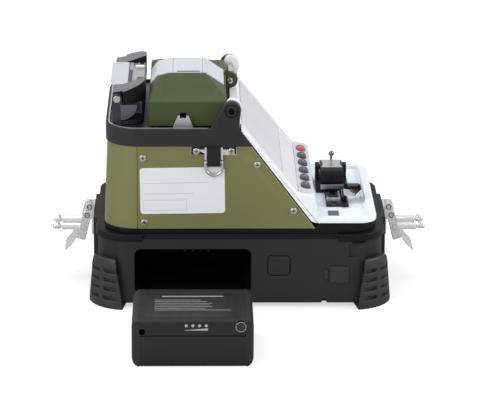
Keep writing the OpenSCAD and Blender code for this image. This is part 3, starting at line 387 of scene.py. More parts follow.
def new_node(tree, kind, values=None, **settings):
    """A node with some inputs and settings."""
    node = tree.nodes.new(kind)
    for key, value in settings.items():
        setattr(node, key, value)
    return set_inputs(node, values or {})


def wire(tree, *links):
    """Links given as node, output, node, input."""
    for start, out, end, into in links:
        tree.links.new(start.outputs[out], end.inputs[into])


def grain_group():
    """Fine moulded or blasted grain: a height for bump and a slow change for roughness."""
    group, inside, outside = new_group(
        "Fine grain", {"Grain scale": 2200.0, "Cloud scale": 35.0, "Low": 0.45, "High": 0.6},
        {"Height": float, "Roughness": float})
    place_in = new_node(group, "ShaderNodeTexCoord")
    fine = new_node(group, "ShaderNodeTexNoise", {"Detail": 2.0, "Roughness": 0.55})
    cloud = new_node(group, "ShaderNodeTexNoise", {"Detail": 4.0, "Roughness": 0.6})
    spread = new_node(group, "ShaderNodeMapRange", {"From Min": 0.3, "From Max": 0.7})
    wire(group, (place_in, "Object", fine, "Vector"), (inside, "Grain scale", fine, "Scale"),
         (place_in, "Object", cloud, "Vector"), (inside, "Cloud scale", cloud, "Scale"),
         (cloud, "Fac", spread, "Value"), (inside, "Low", spread, "To Min"),
         (inside, "High", spread, "To Max"), (fine, "Fac", outside, "Height"),
         (spread, "Result", outside, "Roughness"))
    return group


def shade_group():
    """Uneven colour: slow clouds, fine speckle, and pale rubbed edges."""
    group, inside, outside = new_group(
        "Uneven colour",
        {"Color": rgba(grey(0.5)), "Edge color": rgba(grey(0.6)), "Speckle scale": 1500.0, "Speckle": 0.08,
         "Clouds": 0.06, "Edge": 0.1}, {"Color": tuple})
    place_in = new_node(group, "ShaderNodeTexCoord")
    fine = new_node(group, "ShaderNodeTexNoise", {"Detail": 3.0})
    cloud = new_node(group, "ShaderNodeTexNoise", {"Scale": 22.0, "Detail": 5.0})
    wire(group, (place_in, "Object", fine, "Vector"), (inside, "Speckle scale", fine, "Scale"),
         (place_in, "Object", cloud, "Vector"))
    total = None
    for source, share in ((fine, "Speckle"), (cloud, "Clouds")):
        centred = new_node(group, "ShaderNodeMath", {1: 0.5}, operation="SUBTRACT")
        scaled = new_node(group, "ShaderNodeMath", {2: 1.0}, operation="MULTIPLY_ADD")
        wire(group, (source, "Fac", centred, 0), (centred, 0, scaled, 0), (inside, share, scaled, 1))
        if total:
            wire(group, (total, 0, scaled, 2))
        total = scaled
    tint = new_node(group, "ShaderNodeVectorMath", operation="SCALE")
    point = new_node(group, "ShaderNodeNewGeometry")
    edge = new_node(group, "ShaderNodeMapRange", {"From Min": 0.54, "From Max": 0.68})
    broken = new_node(group, "ShaderNodeMath", operation="MULTIPLY")
    worn = new_node(group, "ShaderNodeMath", operation="MULTIPLY")
    mix = new_node(group, "ShaderNodeMix", data_type="RGBA")
    wire(group, (inside, "Color", tint, 0), (total, 0, tint, "Scale"), (point, "Pointiness", edge, "Value"),
         (edge, "Result", broken, 0), (cloud, "Fac", broken, 1), (broken, 0, worn, 0),
         (inside, "Edge", worn, 1), (worn, 0, mix, "Factor"), (tint, 0, mix, "A"),
         (inside, "Edge color", mix, "B"), (mix, "Result", outside, "Color"))
    return group


def brush_group():
    """Fine drawn lines along one axis, as on brushed metal."""
    group, inside, outside = new_group(
        "Drawn lines", {"Stretch": [1.0, 1.0, 30.0], "Scale": 120.0, "Low": 0.25, "High": 0.45},
        {"Height": float, "Roughness": float})
    place_in = new_node(group, "ShaderNodeTexCoord")
    stretch = new_node(group, "ShaderNodeVectorMath", operation="MULTIPLY")
    lines = new_node(group, "ShaderNodeTexNoise", {"Detail": 3.0, "Roughness": 0.7})
    spread = new_node(group, "ShaderNodeMapRange", {"From Min": 0.3, "From Max": 0.7})
    wire(group, (place_in, "Object", stretch, 0), (inside, "Stretch", stretch, 1),
         (stretch, 0, lines, "Vector"), (inside, "Scale", lines, "Scale"), (lines, "Fac", spread, "Value"),
         (inside, "Low", spread, "To Min"), (inside, "High", spread, "To Max"),
         (lines, "Fac", outside, "Height"), (spread, "Result", outside, "Roughness"))
    return group


GROUPS = {}


def group_named(name):
    """A surface effect, made when it is first asked for."""
    makers = {"grain": grain_group, "shade": shade_group, "brush": brush_group}
    if name not in GROUPS:
        GROUPS[name] = makers[name]()
    return GROUPS[name]


# Finishes


def start_finish(name, metallic, specular):
    """A new material, its node tree and its shader."""
    material = bpy.data.materials.new(name)
    material.use_nodes = True
    shader = material.node_tree.nodes["Principled BSDF"]
    set_inputs(shader, {"Metallic": metallic, "Specular IOR Level": specular})
    return material, material.node_tree, shader


def use_group(tree, name, **values):
    """A surface effect in a node tree, with its inputs set."""
    node = new_node(tree, "ShaderNodeGroup", node_tree=group_named(name))
    return set_inputs(node, {key.replace("_", " "): value for key, value in values.items()})


def grey(value):
    return (value, value, value)


def rgba(values):
    return (*values, 1.0)


def cover_with(tree, shader, surface, depth):
    """Roughness and bump from a surface group."""
    bump = new_node(tree, "ShaderNodeBump", {"Strength": 0.6, "Distance": depth * MM})
    wire(tree, (surface, "Roughness", shader, "Roughness"), (surface, "Height", bump, "Height"),
         (bump, "Normal", shader, "Normal"))


def uneven(tree, shader, base, edge, **values):
    """Uneven colour from a base colour and a colour for rubbed edges."""
    shade = use_group(tree, "shade", Color=rgba(base), Edge_color=rgba(edge), **values)
    wire(tree, (shade, "Color", shader, "Base Color"))


def grained(name, base, edge, rough, grain=2200.0, depth=0.03, metallic=0.0, specular=0.35, speckle=0.12,
            rub=0.12, coat=0.0):
    """Moulded plastic, rubber, blasted or painted metal: fine grain with uneven colour."""
    material, tree, shader = start_finish(name, metallic, specular)
    surface = use_group(tree, "grain", Grain_scale=grain, Low=rough[0], High=rough[1])
    cover_with(tree, shader, surface, depth)
    uneven(tree, shader, base, edge, Speckle_scale=grain, Speckle=speckle, Edge=rub)
    set_inputs(shader, {"Coat Weight": coat, "Coat Roughness": 0.12})
    return material


def brushed(name, base, edge, stretch, rough, scale=120.0, depth=0.004, speckle=0.05, metallic=1.0):
    """Drawn or brushed metal."""
    material, tree, shader = start_finish(name, metallic, 0.5)
    surface = use_group(tree, "brush", Stretch=stretch, Scale=scale, Low=rough[0], High=rough[1])
    cover_with(tree, shader, surface, depth)
    uneven(tree, shader, base, edge, Speckle=speckle, Edge=0.2)
    return material


FINISHES = {}


def make_finishes(colours):
    """Every finish of the object, by the name of its material."""
    pale = grey(0.12)
    for finish in (
        grained("Base plastic", colours.black, pale, (0.5, 0.62), 2600.0, 0.05),
        grained("Skirt plastic", grey(0.006), grey(0.05), (0.4, 0.52), 2600.0, 0.02, specular=0.2),
        grained("Bumper rubber", colours.rubber, (0.09, 0.09, 0.085), (0.4, 0.52), 1800.0, 0.03,
                specular=0.5),
        grained("Charcoal rim", colours.charcoal, grey(0.14), (0.42, 0.55), 2400.0, 0.03),
        grained("Anodised olive", colours.olive, (0.42, 0.43, 0.26), (0.36, 0.48), 3200.0, 0.02, metallic=0.5,
                specular=0.5, speckle=0.3, rub=0.35),
        grained("Green paint", colours.green, (0.16, 0.22, 0.1), (0.34, 0.44), 1600.0, 0.01, specular=0.22,
                speckle=0.06),
        grained("Silver paint", colours.silver, (0.9, 0.91, 0.93), (0.24, 0.34), 2600.0, 0.004, specular=0.5,
                speckle=0.03, coat=0.2),
        grained("Deck silver", colours.deck, (0.86, 0.88, 0.9), (0.3, 0.42), 3000.0, 0.006, specular=0.5,
                speckle=0.06),
        grained("Key strip", (0.66, 0.69, 0.74), (0.8, 0.82, 0.84), (0.36, 0.46), 2600.0, 0.012, metallic=0.2,
                specular=0.5, speckle=0.1),
        grained("Grey key", colours.key_grey, (0.16, 0.17, 0.18), (0.3, 0.42), 2200.0, 0.015, specular=0.5),
        grained("Red key", colours.key_red, (0.7, 0.25, 0.25), (0.28, 0.4), 2200.0, 0.015, specular=0.5),
        grained("Key marking", (0.3, 0.31, 0.32), grey(0.6), (0.4, 0.5), 2200.0, 0.005),
        brushed("Cover strip", (0.72, 0.77, 0.825), (0.9, 0.9, 0.92), (1, 20, 1), (0.26, 0.36), 160.0, 0.0004,
                0.02, metallic=0.35),
        brushed("Bright steel", colours.steel, (0.9, 0.9, 0.88), (4, 4, 1), (0.16, 0.3), 300.0, 0.003),
        brushed("Latch steel", (0.8, 0.78, 0.73), (0.9, 0.89, 0.85), (1, 1, 24), (0.2, 0.3), 140.0, 0.001,
                0.02, metallic=0.6),
        brushed("Latch sleeve", (0.86, 0.86, 0.85), grey(0.95), (1, 8, 8), (0.12, 0.2), 160.0, 0.002,
                metallic=0.5),
        brushed("Clip steel", (0.74, 0.73, 0.7), (0.9, 0.9, 0.88), (6, 1, 1), (0.2, 0.32), 200.0, 0.002,
                metallic=0.5),
        brushed("Chrome", (0.72, 0.73, 0.73), grey(0.9), (2, 2, 2), (0.06, 0.14), 200.0, 0.001),
        brushed("Machined alloy", (0.46, 0.47, 0.49), (0.75, 0.76, 0.78), (14, 1, 1), (0.28, 0.42), 160.0),
        brushed("Dark alloy", (0.12, 0.125, 0.135), (0.4, 0.41, 0.43), (14, 1, 1), (0.34, 0.46), 160.0),
        brushed("Fibre guide alloy", (0.52, 0.53, 0.56), (0.8, 0.81, 0.83), (1, 1, 10), (0.3, 0.42), 140.0,
                metallic=0.6),
        grained("Black steel", (0.012, 0.012, 0.013), grey(0.12), (0.26, 0.38), 1800.0, 0.01, specular=0.5),
        grained("Heater lid grey", (0.165, 0.17, 0.182), (0.4, 0.41, 0.43), (0.34, 0.46), 2000.0, 0.015,
                metallic=0.2, specular=0.5),
        grained("Heater housing", (0.03, 0.034, 0.038), (0.14, 0.15, 0.16), (0.36, 0.5), 2200.0, 0.02),
        grained("Heater plate", (0.62, 0.66, 0.73), (0.85, 0.86, 0.88), (0.2, 0.3), 2200.0, 0.008,
                metallic=0.25, specular=0.5, speckle=0.04),
        grained("Ceramic", (0.78, 0.77, 0.72), (0.9, 0.9, 0.88), (0.2, 0.3), 1500.0, 0.004, specular=0.6),
        grained("Circuit board", (0.03, 0.13, 0.06), (0.3, 0.3, 0.2), (0.3, 0.42), 900.0, 0.02),
        # Brass darkened as painted shade, for contacts deep in the bay
        brushed("Painted shade brass", (0.14, 0.1, 0.04), (0.3, 0.24, 0.12), (1, 1, 8), (0.2, 0.34), 140.0),
        grained("Strap webbing", (0.010, 0.010, 0.011), grey(0.05), (0.7, 0.85), 1400.0, 0.12),
        grained("Blank label", (0.72, 0.74, 0.755), grey(0.85), (0.38, 0.48), 1500.0, 0.004, speckle=0.03),
        grained("Label rule", (0.42, 0.43, 0.45), grey(0.5), (0.4, 0.5), 1500.0, 0.002),
        grained("Cell wrap", (0.06, 0.16, 0.34), (0.2, 0.3, 0.5), (0.25, 0.35), 900.0, 0.008, specular=0.5),
        grained("Battery plastic", (0.012, 0.012, 0.0123), pale, (0.44, 0.56), 2600.0, 0.04),
        grained("Battery label", grey(0.012), grey(0.1), (0.3, 0.4), 1800.0, 0.006),
        grained("Level window", (0.01, 0.01, 0.0105), grey(0.05), (0.12, 0.2), 1500.0, 0.002, specular=0.5),
        grained("Light print", grey(0.36), grey(0.5), (0.4, 0.5), 1500.0, 0.002),
        # A paler olive for the panels' edge bevels, a painted highlight
        grained("Olive painted highlight", (0.4, 0.41, 0.22), (0.6, 0.6, 0.4), (0.3, 0.4), 3200.0, 0.01, metallic=0.6,
                specular=0.5),
        brushed("Screw steel", (0.72, 0.71, 0.68), (0.9, 0.9, 0.88), (3, 3, 3), (0.12, 0.22), 300.0, 0.002),
        grained("Rim line", (0.7, 0.71, 0.73), grey(0.9), (0.2, 0.3), 1500.0, 0.004, metallic=0.6),
        grained("Heater disc", (0.075, 0.082, 0.092), (0.2, 0.2, 0.22), (0.35, 0.45), 1500.0, 0.01),
        grained("Glass outline", (0.42, 0.44, 0.47), grey(0.2), (0.25, 0.35), 1500.0, 0.004),
        grained("Grey pad", (0.12, 0.125, 0.13), grey(0.2), (0.55, 0.7), 1500.0, 0.03),
        brushed("Plate steel", (0.62, 0.63, 0.62), (0.85, 0.85, 0.84), (1, 6, 1), (0.2, 0.34), 200.0, 0.0006,
                0.02, metallic=0.7),
        grained("Heater slide", (0.4, 0.415, 0.44), (0.5, 0.5, 0.52), (0.3, 0.42), 1500.0, 0.006,
                metallic=0.4, specular=0.5),
        # Near-black painted shade for the bay, seams, sockets, eyes and a ring round each bolt
        grained("Bay inside", grey(0.003), grey(0.01), (0.75, 0.85), 2600.0, 0.03, specular=0.1),
        grained("Blackened bolt", grey(0.004), grey(0.06), (0.16, 0.24), 1800.0, 0.004, specular=0.5,
                coat=0.3),
        # A darker copy of chrome, painted shade on the cleaver's ball
        brushed("Painted shade chrome", grey(0.2), grey(0.5), (2, 2, 2), (0.1, 0.2), 200.0, 0.001),
        grained("Cleaver black", (0.0075, 0.0065, 0.006), (0.08, 0.075, 0.07), (0.24, 0.34), 1800.0, 0.008,
                specular=0.3),
        glass_finish(),
        grained("Display", (0.09, 0.1, 0.115), grey(0.1), (0.1, 0.18), 1200.0, 0.001, specular=0.5),
    ):
        FINISHES[finish.name] = finish


def glass_finish():
    """Screen glass with a pale colour and faint smears."""
    material, tree, shader = start_finish("Screen glass", 0.0, 0.5)
    surface = use_group(tree, "grain", Grain_scale=300.0, Cloud_scale=14.0, Low=0.03, High=0.1)
    wire(tree, (surface, "Roughness", shader, "Roughness"))
    uneven(tree, shader, (0.93, 0.96, 0.99), (0.84, 0.86, 0.88), Speckle=0.02, Clouds=0.16, Edge=0.0)
    set_inputs(shader, {"Coat Weight": 0.3, "Coat Roughness": 0.03})
    return material


class SplicerOperator:
    """What the building steps share"""

    bl_options = {"REGISTER", "UNDO"}

    def execute(self, context):
        """Makes the finishes once and builds the step's pieces."""
        scene = context.scene
        if not FINISHES and self.bl_idname != "SPLICER_OT_stage":
            make_finishes(scene.splicer_colours)
        self.build(scene)
        return {"FINISHED"}


class SPLICER_OT_stage(SplicerOperator, bpy.types.Operator):
    """Builds the floor, the soft lights and the camera"""

    bl_idname = "splicer.stage"
    bl_label = "Stage"

    def build(self, scene):
        stage = scene.splicer_stage
        scene.view_settings.view_transform = "Standard"
        self.camera(scene, stage)
        self.world(scene, stage)
        self.floor()
        self.lamp("Overhead box", (-0.5, 0.2, 1.5), 1.6, stage.key)
        self.lamp("Front box", (-1.25, -1.42, 0.9), 1.2, stage.fill)
        self.lamp("Side box", (1.5, -0.2, 1.0), 1.0, stage.side)

    def camera(self, scene, stage):
        """A camera that looks at the middle of the object."""
        camera = bpy.data.cameras.new("Camera")
        camera.lens = stage.lens
        camera.sensor_width = 36.0
        camera.clip_end = 20.0
        seen = bpy.data.objects.new("Camera", camera)
        target = Vector((0.77, MID_Y, 61.3)) * MM
        turn = Matrix.Rotation(stage.azimuth, 4, "Z") @ Matrix.Rotation(math.pi / 2 - stage.elevation, 4, "X")
        back = Matrix.Rotation(stage.roll, 4, "Z") @ Matrix.Translation((0, 0, stage.distance))
        seen.matrix_world = Matrix.Translation(target) @ turn @ back
        scene.collection.objects.link(seen)
        scene.camera = seen

    def world(self, scene, stage):
        """Even light all round, and white where the camera sees it."""
        world = bpy.data.worlds.new("Studio")
        scene.world = world
        world.use_nodes = True
        tree = world.node_tree
        light = set_inputs(tree.nodes["Background"],
                           {"Strength": stage.ambient, "Color": (0.97, 0.98, 1.0, 1.0)})
        seen = new_node(tree, "ShaderNodeBackground", {"Strength": 1.0, "Color": (1, 1, 1, 1)})
        self.finish_tree(tree, self.mixed(tree, light, seen, "Is Camera Ray"), "ShaderNodeOutputWorld")

    def mixed(self, tree, other, seen, ray):
        """One shader for one kind of ray and another for the rest."""
        path = new_node(tree, "ShaderNodeLightPath")
        mix = new_node(tree, "ShaderNodeMixShader")
        wire(tree, (path, ray, mix, 0), (other, 0, mix, 1), (seen, 0, mix, 2))
        return mix

    def finish_tree(self, tree, shader, output):
        """Links a shader to the output of a node tree."""
        end = next(n for n in tree.nodes if n.bl_idname == output)
        wire(tree, (shader, 0, end, "Surface"))

    def floor(self):
        """A pale round floor that stays white to the eye and keeps the shadow."""
        bm = bmesh.new()
        bmesh.ops.create_circle(bm, cap_ends=True, segments=96, radius=6.0)
        mesh = bpy.data.meshes.new("Floor")
        bm.to_mesh(mesh)
        bm.free()
        material = bpy.data.materials.new("Studio floor")
        material.use_nodes = True
        tree = material.node_tree
        paper = set_inputs(tree.nodes["Principled BSDF"], {
            "Base Color": rgba(grey(0.9)), "Roughness": 0.9, "Specular IOR Level": 0.1})
        glow = new_node(tree, "ShaderNodeEmission", {"Color": (1, 1, 1, 1), "Strength": 0.62})
        veil = new_node(tree, "ShaderNodeBsdfDiffuse", {"Color": (0.5, 0.5, 0.5, 1.0)})
        both = new_node(tree, "ShaderNodeAddShader")
        wire(tree, (veil, 0, both, 0), (glow, 0, both, 1))
        dull = new_node(tree, "ShaderNodeBsdfDiffuse", {"Color": (0.42, 0.42, 0.43, 1.0)})
        seen = self.mixed(tree, paper, both, "Is Camera Ray")
        self.finish_tree(tree, self.mixed(tree, seen, dull, "Is Glossy Ray"), "ShaderNodeOutputMaterial")
        mesh.materials.append(material)
        floor = bpy.data.objects.new("Floor", mesh)
        bpy.context.scene.collection.objects.link(floor)

    def lamp(self, name, place_at, size, power):
        """A round soft box that shines at the object."""
        light = bpy.data.lights.new(name, "AREA")
        light.shape = "DISK"
        light.size = size
        light.energy = power
        lamp = bpy.data.objects.new(name, light)
        aim = Vector((0, 0.05, 0.08)) - Vector(place_at)
        lamp.matrix_world = Matrix.Translation(place_at) @ aim.to_track_quat("-Z", "Y").to_matrix().to_4x4()
        bpy.context.scene.collection.objects.link(lamp)


class SPLICER_OT_base(SplicerOperator, bpy.types.Operator):
    """Finishes the carrying base, its bumpers, its button and its port"""

    bl_idname = "splicer.base"
    bl_label = "Carrying base"

    def build(self, scene):
        self.tray(scene.splicer_edges.moulding)
        finish_plain("corner_bumpers", "Bumper rubber", 0.6 * MM, angle=35)
        finish_plain("release_button", "Base plastic", 0.9 * MM, 3)
        finish_plain("port_cover", "Bumper rubber", 0.4 * MM)
        self.tether()
        finish_plain("usb_socket", "Bright steel", 0.2 * MM)
        self.contacts()

    def tray(self, width):
        """The tray, darker on its upper flange and near-black inside the battery bay as painted shade."""
        low, high = box_mm("battery_lower")
        flange, floor, side, front, back = BASE_HIGH.z - 7.6, 6.0, 2.0, 2.6, 4.0
        finish_plain("base_tray", ["Base plastic", "Skirt plastic", "Bay inside"], width, paints=(
            lambda p, n: p.z > flange,
            # Inside the battery bay the faces are painted near-black as painted shade
            lambda p, n: (low.x - side < p.x < high.x + side and floor < p.z < flange
                          and BASE_LOW.y + front < p.y < BASE_HIGH.y - back)))

    def tether(self):
        """Rubber strap that holds the port cover."""
        low, high = box_mm("port_cover")
        middle, half = (low.z + high.z) / 2, 3.6
        bm = blocks(((low.x - 4.0, high.y - 0.5, middle - half), (low.x - 1.0, high.y + 0.4, middle + half)))
        soften(bm, 0.3 * MM)
        add_piece("port_tether", bm, "Bumper rubber", slot="seal_rubber")

    def contacts(self):
        """A contact block painted near-black as painted shade, with brass darkened as painted shade only
        inside its slots.
        """
        slots = box_mm("battery_contacts")[0].y + 0.6
        finish_plain("battery_contacts", ["Bay inside", "Painted shade brass"], 0.0,
                     paints=(lambda p, n: p.y > slots,))


class SPLICER_OT_body(SplicerOperator, bpy.types.Operator):
    """Finishes the skirt, the olive panels and their screws"""

    bl_idname = "splicer.body"
    bl_label = "Machine body"

    def build(self, scene):
        edges = scene.splicer_edges
        finish_plain("lower_skirt", "Skirt plastic", edges.moulding)
        for node in ("side_panel_near", "side_panel_far"):
            # The bevel faces of the cut edges get a paler olive, a painted highlight
            finish_plain(node, ["Anodised olive", "Olive painted highlight"], edges.sheet,
                         paints=(lambda p, n: 0.1 < abs(n.y) < 0.95,))
        finish_plain("rear_wrap", "Anodised olive", edges.sheet, angle=60)
        self.screws()
        finish_plain("top_deck", "Dark alloy", edges.sheet)
        finish_plain("body_frame", "Black steel", 0.0)
        finish_plain("main_board", "Circuit board", 0.0)
        self.label()

    def screws(self):
        """Domed screw heads, each cross recess painted black inside as painted shade."""
        bm = copy_of("panel_screws")
        rims = []
        for faces in shells(bm):
            points = [v.co / MM for face in faces for v in face.verts]
            low, high = extent(points)
            outer = low.y if low.y < MID_Y else high.y
            low, high = extent([p for p in points if abs(p.y - outer) < 0.01])
            x, z, radius = (low.x + high.x) / 2, (low.z + high.z) / 2, (high.x - low.x) / 2
            cross, rim = 0.75 * radius, 0.9 * radius
            # The faces inside each cross recess are painted black as painted shade
            for face in faces:
                p = face.calc_center_median() / MM
                if math.hypot(p.x - x, p.z - z) < cross and abs(p.y - outer) > 0.05:
                    face.material_index = 1
            for edge in {e for face in faces for e in face.edges}:
                ends = [v.co / MM for v in edge.verts]
                if all(abs(p.y - outer) < 0.01 and math.hypot(p.x - x, p.z - z) > rim for p in ends):
                    rims.append(edge)
        bmesh.ops.bevel(bm, geom=rims, offset=0.6 * MM, offset_type="OFFSET", segments=3, profile=0.5,
                        affect="EDGES", material=-1, clamp_overlap=True)
        finish_node("panel_screws", ["Screw steel", "Black steel"], bm)

    def label(self):
        """A blank label with empty rules on the near panel."""
        wide, tall, corner, lean = 62.6, 35.4, 2.4, math.radians(0.8)
        wall = Matrix.Translation((-43.0, PANEL_LOW.y, 91.0)) @ UPRIGHT @ Matrix.Rotation(lean, 4, "Z")
        bm = prism(round_outline(wide, tall, corner), 0.12, wall)
        add_piece("panel_label", bm, "Blank label", slot="plate_white")
        left, bottom, top, line = -29.0, -15.2, -6.9, 0.3
        rows = [(left, y, right, y + line) for y, right in ((bottom, 3), (-7.2, 3), (-2.4, 8), (5.8, 20))]
        posts = [(x, bottom, x + line, top) for x in (left, 2.7)]
        bm = blocks(*(((x0, y0, 0.1), (x1, y1, 0.15)) for x0, y0, x1, y1 in rows + posts), matrix=wall)
        add_piece("panel_label_rules", bm, "Label rule", slot="plate_white")


class SPLICER_OT_rim(SplicerOperator, bpy.types.Operator):
    """Finishes the top rim with its hinge ears and bolts"""

    bl_idname = "splicer.rim"
    bl_label = "Top rim"

    def build(self, scene):
        finish_plain("top_rim", "Charcoal rim", scene.splicer_edges.moulding)
        self.bolts()
        self.trim()

    def bolts(self):
        """Blackened bolts with a socket painted near-black as painted shade, silver inner ends and a
        near-black ring of painted shadow round each head.
        """
        bm = copy_of("ear_bolts")
        low, high = box_mm("ear_bolts")
        soften(bm, 0.5 * MM, where=lambda p: min(p.y - low.y, high.y - p.y) < 0.05)
        x, z, radius = (low.x + high.x) / 2, (low.z + high.z) / 2, (high.x - low.x) / 2
        socket, shadow_radii = 0.62 * radius, (radius + 0.15, radius + 0.75)
        # The faces inside each hex socket are painted near-black as painted shade
        paint(bm, 1, lambda p, n: (math.hypot(p.x - x, p.z - z) < socket
                                   and min(p.y - low.y, high.y - p.y) > 0.05))
        inner = min(abs(vert.co.y / MM - MID_Y) for vert in bm.verts)
        paint(bm, 2, lambda p, n: abs(p.y - MID_Y) < inner + 0.1)
        finish_node("ear_bolts", ["Blackened bolt", "Bay inside", "Silver paint"], bm)
        # A near-black ring round each bolt head is a painted shadow
        for wall, out, side in ((RIM_LOW.y, 1, "near"), (RIM_HIGH.y, -1, "far")):
            turned = Matrix.Translation((x, wall, z)) @ Matrix.Rotation(out * math.pi / 2, 4, "X")
            bm = ring(*shadow_radii, 0.12, turned @ Matrix.Translation((0, 0, -0.02)))
            add_piece("ear_bolt_shadow_ring_" + side, bm, "Bay inside", slot="charcoal_rim")

    def path(self, inset):
        """The rim's outline from the near ear round the back to the far ear."""
        corner, ear = 25.0, -24.0
        x, radius = RIM_LOW.x + corner, corner - inset
        return [(ear, RIM_LOW.y + inset), *arc(x, RIM_LOW.y + corner, radius, radius, 270, 180, 10),
                *arc(x, RIM_HIGH.y - corner, radius, radius, 180, 90, 10), (ear, RIM_HIGH.y - inset)]

    def trim(self):
        """A bright line along the rim's inner top edge."""
        outer, inner, height = 1.9, 2.9, 0.3
        outline = self.path(outer) + self.path(inner)[::-1]
        bm = prism(outline, height, Matrix.Translation((0, 0, RIM_TOP - 0.1)))
        add_piece("rim_trim", bm, "Rim line", slot="strip_silver")


class SPLICER_OT_wind_cover(SplicerOperator, bpy.types.Operator):
    """Finishes the wind cover, its strip, its hinge and the fibre guides"""

    bl_idname = "splicer.wind_cover"
    bl_label = "Wind cover"

    # From the hinge axis to the cover's end, and from the middle to the lug and the post, in millimetres
    END_GAP, LUG_FACE, LUG_BACK, POST = 3.5, 17.4, 25.0, 63.3

    def build(self, scene):
        edges = scene.splicer_edges
        bm = copy_of("wind_cover")
        self.one_lug(bm)
        self.hollows(bm)
        soften(bm, edges.fold, 3, angle=28, where=lambda p: p.z > COVER_LOW.z + 8)
        finish_node("wind_cover", "Green paint", bm)
        self.strip()
        self.hinge()
        finish_plain("fibre_guides", "Fibre guide alloy", 0.3 * MM)

    def one_lug(self, bm):
        """Leaves the cover its far lug only."""
        end = joint_at("wind_cover_hinge")[0] - self.END_GAP
        lug = [face for face in bm.faces for p in [face.calc_center_median() / MM]
               if p.x > end + 0.02 and p.y < MID_Y]
        bmesh.ops.delete(bm, geom=lug, context="FACES")
        close_holes(bm)
        first, last, slope = self.LUG_FACE - 0.05, self.LUG_BACK + 0.1, 150.0
        fold = verts_where(bm, lambda p: abs(p.x - end) < 0.01 and p.z > slope and first < MID_Y - p.y < last)
        bmesh.ops.connect_verts(bm, verts=fold)
        bmesh.ops.dissolve_limit(bm, angle_limit=FLAT_ANGLE, verts=bm.verts, edges=bm.edges)

    def hinge(self):
        """A low silver bar, a pin from the far post to the far lug, and the lug's face with its screw."""
        x, z = joint_at("wind_cover_hinge")
        bar = z - 6.4
        bm = copy_of("cover_hinge")
        slice_off(bm, (0, 0, bar), (0, 0, 1))
        soften(bm, 0.3 * MM)
        finish_node("cover_hinge", "Silver paint", bm)
        self.pin(x, z)
        self.lug(x, z)

    def pin(self, x, z):
        """The pin, and a screw whose cross is black blocks of painted shade, in front of the lug."""
        pin, head, top, arm, half = 2.0, 2.8, 2.2, 1.7, 0.35
        bm = bmesh.new()
        add_rod(bm, (x, self.LUG_BACK - 0.5, z), (x, self.POST, z), pin, matrix=ROW)
        add_rod(bm, (x, self.LUG_FACE - 0.9, z), (x, self.LUG_FACE - 2.0, z), head, top, matrix=ROW)
        # The cross is black blocks standing for the shade in its recess, painted shade
        front, back = self.LUG_FACE - 2.08, self.LUG_FACE - 1.9
        for wide, tall in ((arm, half), (half, arm)):
            for face in faces_of(add_block(bm, (x - wide, front, z - tall), (x + wide, back, z + tall), ROW)):
                face.material_index = 1
        add_piece("cover_pin", bm, ["Screw steel", "Black steel"], slot=SLOT_OF["cover_hinge"])

    def lug(self, x, z):
        """The face of the far lug and the plate that closes the cover's end."""
        radius, left, top = 5.8, -3.6, 9.2
        outline = [(left, -radius), *arc(0, 0, radius, radius, -90, 50, 14), (left, top)]
        bm = prism(outline, 1.0, Matrix.Translation((x, MID_Y + self.LUG_FACE, z)) @ UPRIGHT)
        soften(bm, 0.25 * MM)
        end = x - self.END_GAP
        add_block(bm, (end - 1.6, -self.LUG_FACE, z - 9.5), (end + 0.15, self.LUG_FACE, z + 5.2), ROW)
        add_piece("cover_lug", bm, "Green paint", "wind_cover", SLOT_OF["wind_cover"])

    def hollows(self, bm):
        """A shallow hollow along each slope of the cover, with a crease at both ends."""
        ends, across, depth, flat, drop = (-57.5, -53.8, -22.0, -16.2), 40.0, 2.4, 22.0, 11.0
        for x in ends:
            cut(bm, (x, 0, 0), (1, 0, 0))
        for side in (-1, 1):
            cut(bm, (0, MID_Y + side * across, 0), (0, 1, 0))
        roof = COVER_HIGH.z - drop * (across - flat) / (COVER_HIGH.y - MID_Y - flat)
        moved = verts_where(bm, lambda p: (abs(abs(p.y - MID_Y) - across) < 0.02 and abs(p.z - roof) < 0.3
                                           and ends[1] - 0.02 < p.x < ends[2] + 0.02))
        bmesh.ops.translate(bm, vec=(0, 0, -depth * MM), verts=moved)
        bmesh.ops.triangulate(bm, faces=faces_of(moved))

    def strip(self):
        """The folded strip with a slot along its near edge and two fine fold lines, all painted darker as
        painted shade.
        """
        bm = copy_of("wind_cover_strip")
        top = box_mm("wind_cover_strip")[1].z - 0.02
        folds, ends, sides = ((-50.4, -50.0), (-28.2, -27.8)), (-47.0, -30.0), (-21.2, -18.0)
        for x in (*folds[0], *folds[1], *ends):
            cut(bm, (x, 0, 0), (1, 0, 0))
        for y in sides:
            cut(bm, (0, MID_Y + y, 0), (0, 1, 0))
        # The slot is painted black as painted shade
        paint(bm, 1, lambda p, n: p.z > top and ends[0] < p.x < ends[1] and sides[0] < p.y - MID_Y < sides[1])
        # The fold lines are painted darker as painted shade
        paint(bm, 2, lambda p, n: p.z > top and any(start < p.x < stop for start, stop in folds))
        finish_node("wind_cover_strip", ["Cover strip", "Black steel", "Machined alloy"], bm)


class SPLICER_OT_splice_unit(SplicerOperator, bpy.types.Operator):
    """Finishes what lies under the wind cover"""

    bl_idname = "splicer.splice_unit"
    bl_label = "Splice unit"

    def build(self, scene):
        finish_plain("splice_block", "Machined alloy", 0.3 * MM)
        finish_plain("vgroove_blocks", "Ceramic", 0.15 * MM, 1)
        finish_plain("electrodes", "Dark alloy", 0.1 * MM, 1, angle=60)
        for side in ("near", "far"):
            finish_plain("fibre_clamp_" + side, "Machined alloy", 0.4 * MM)
        finish_plain("objective_lenses", "Dark alloy", 0.3 * MM)
        finish_plain("feed_motors", "Machined alloy", 0.4 * MM)


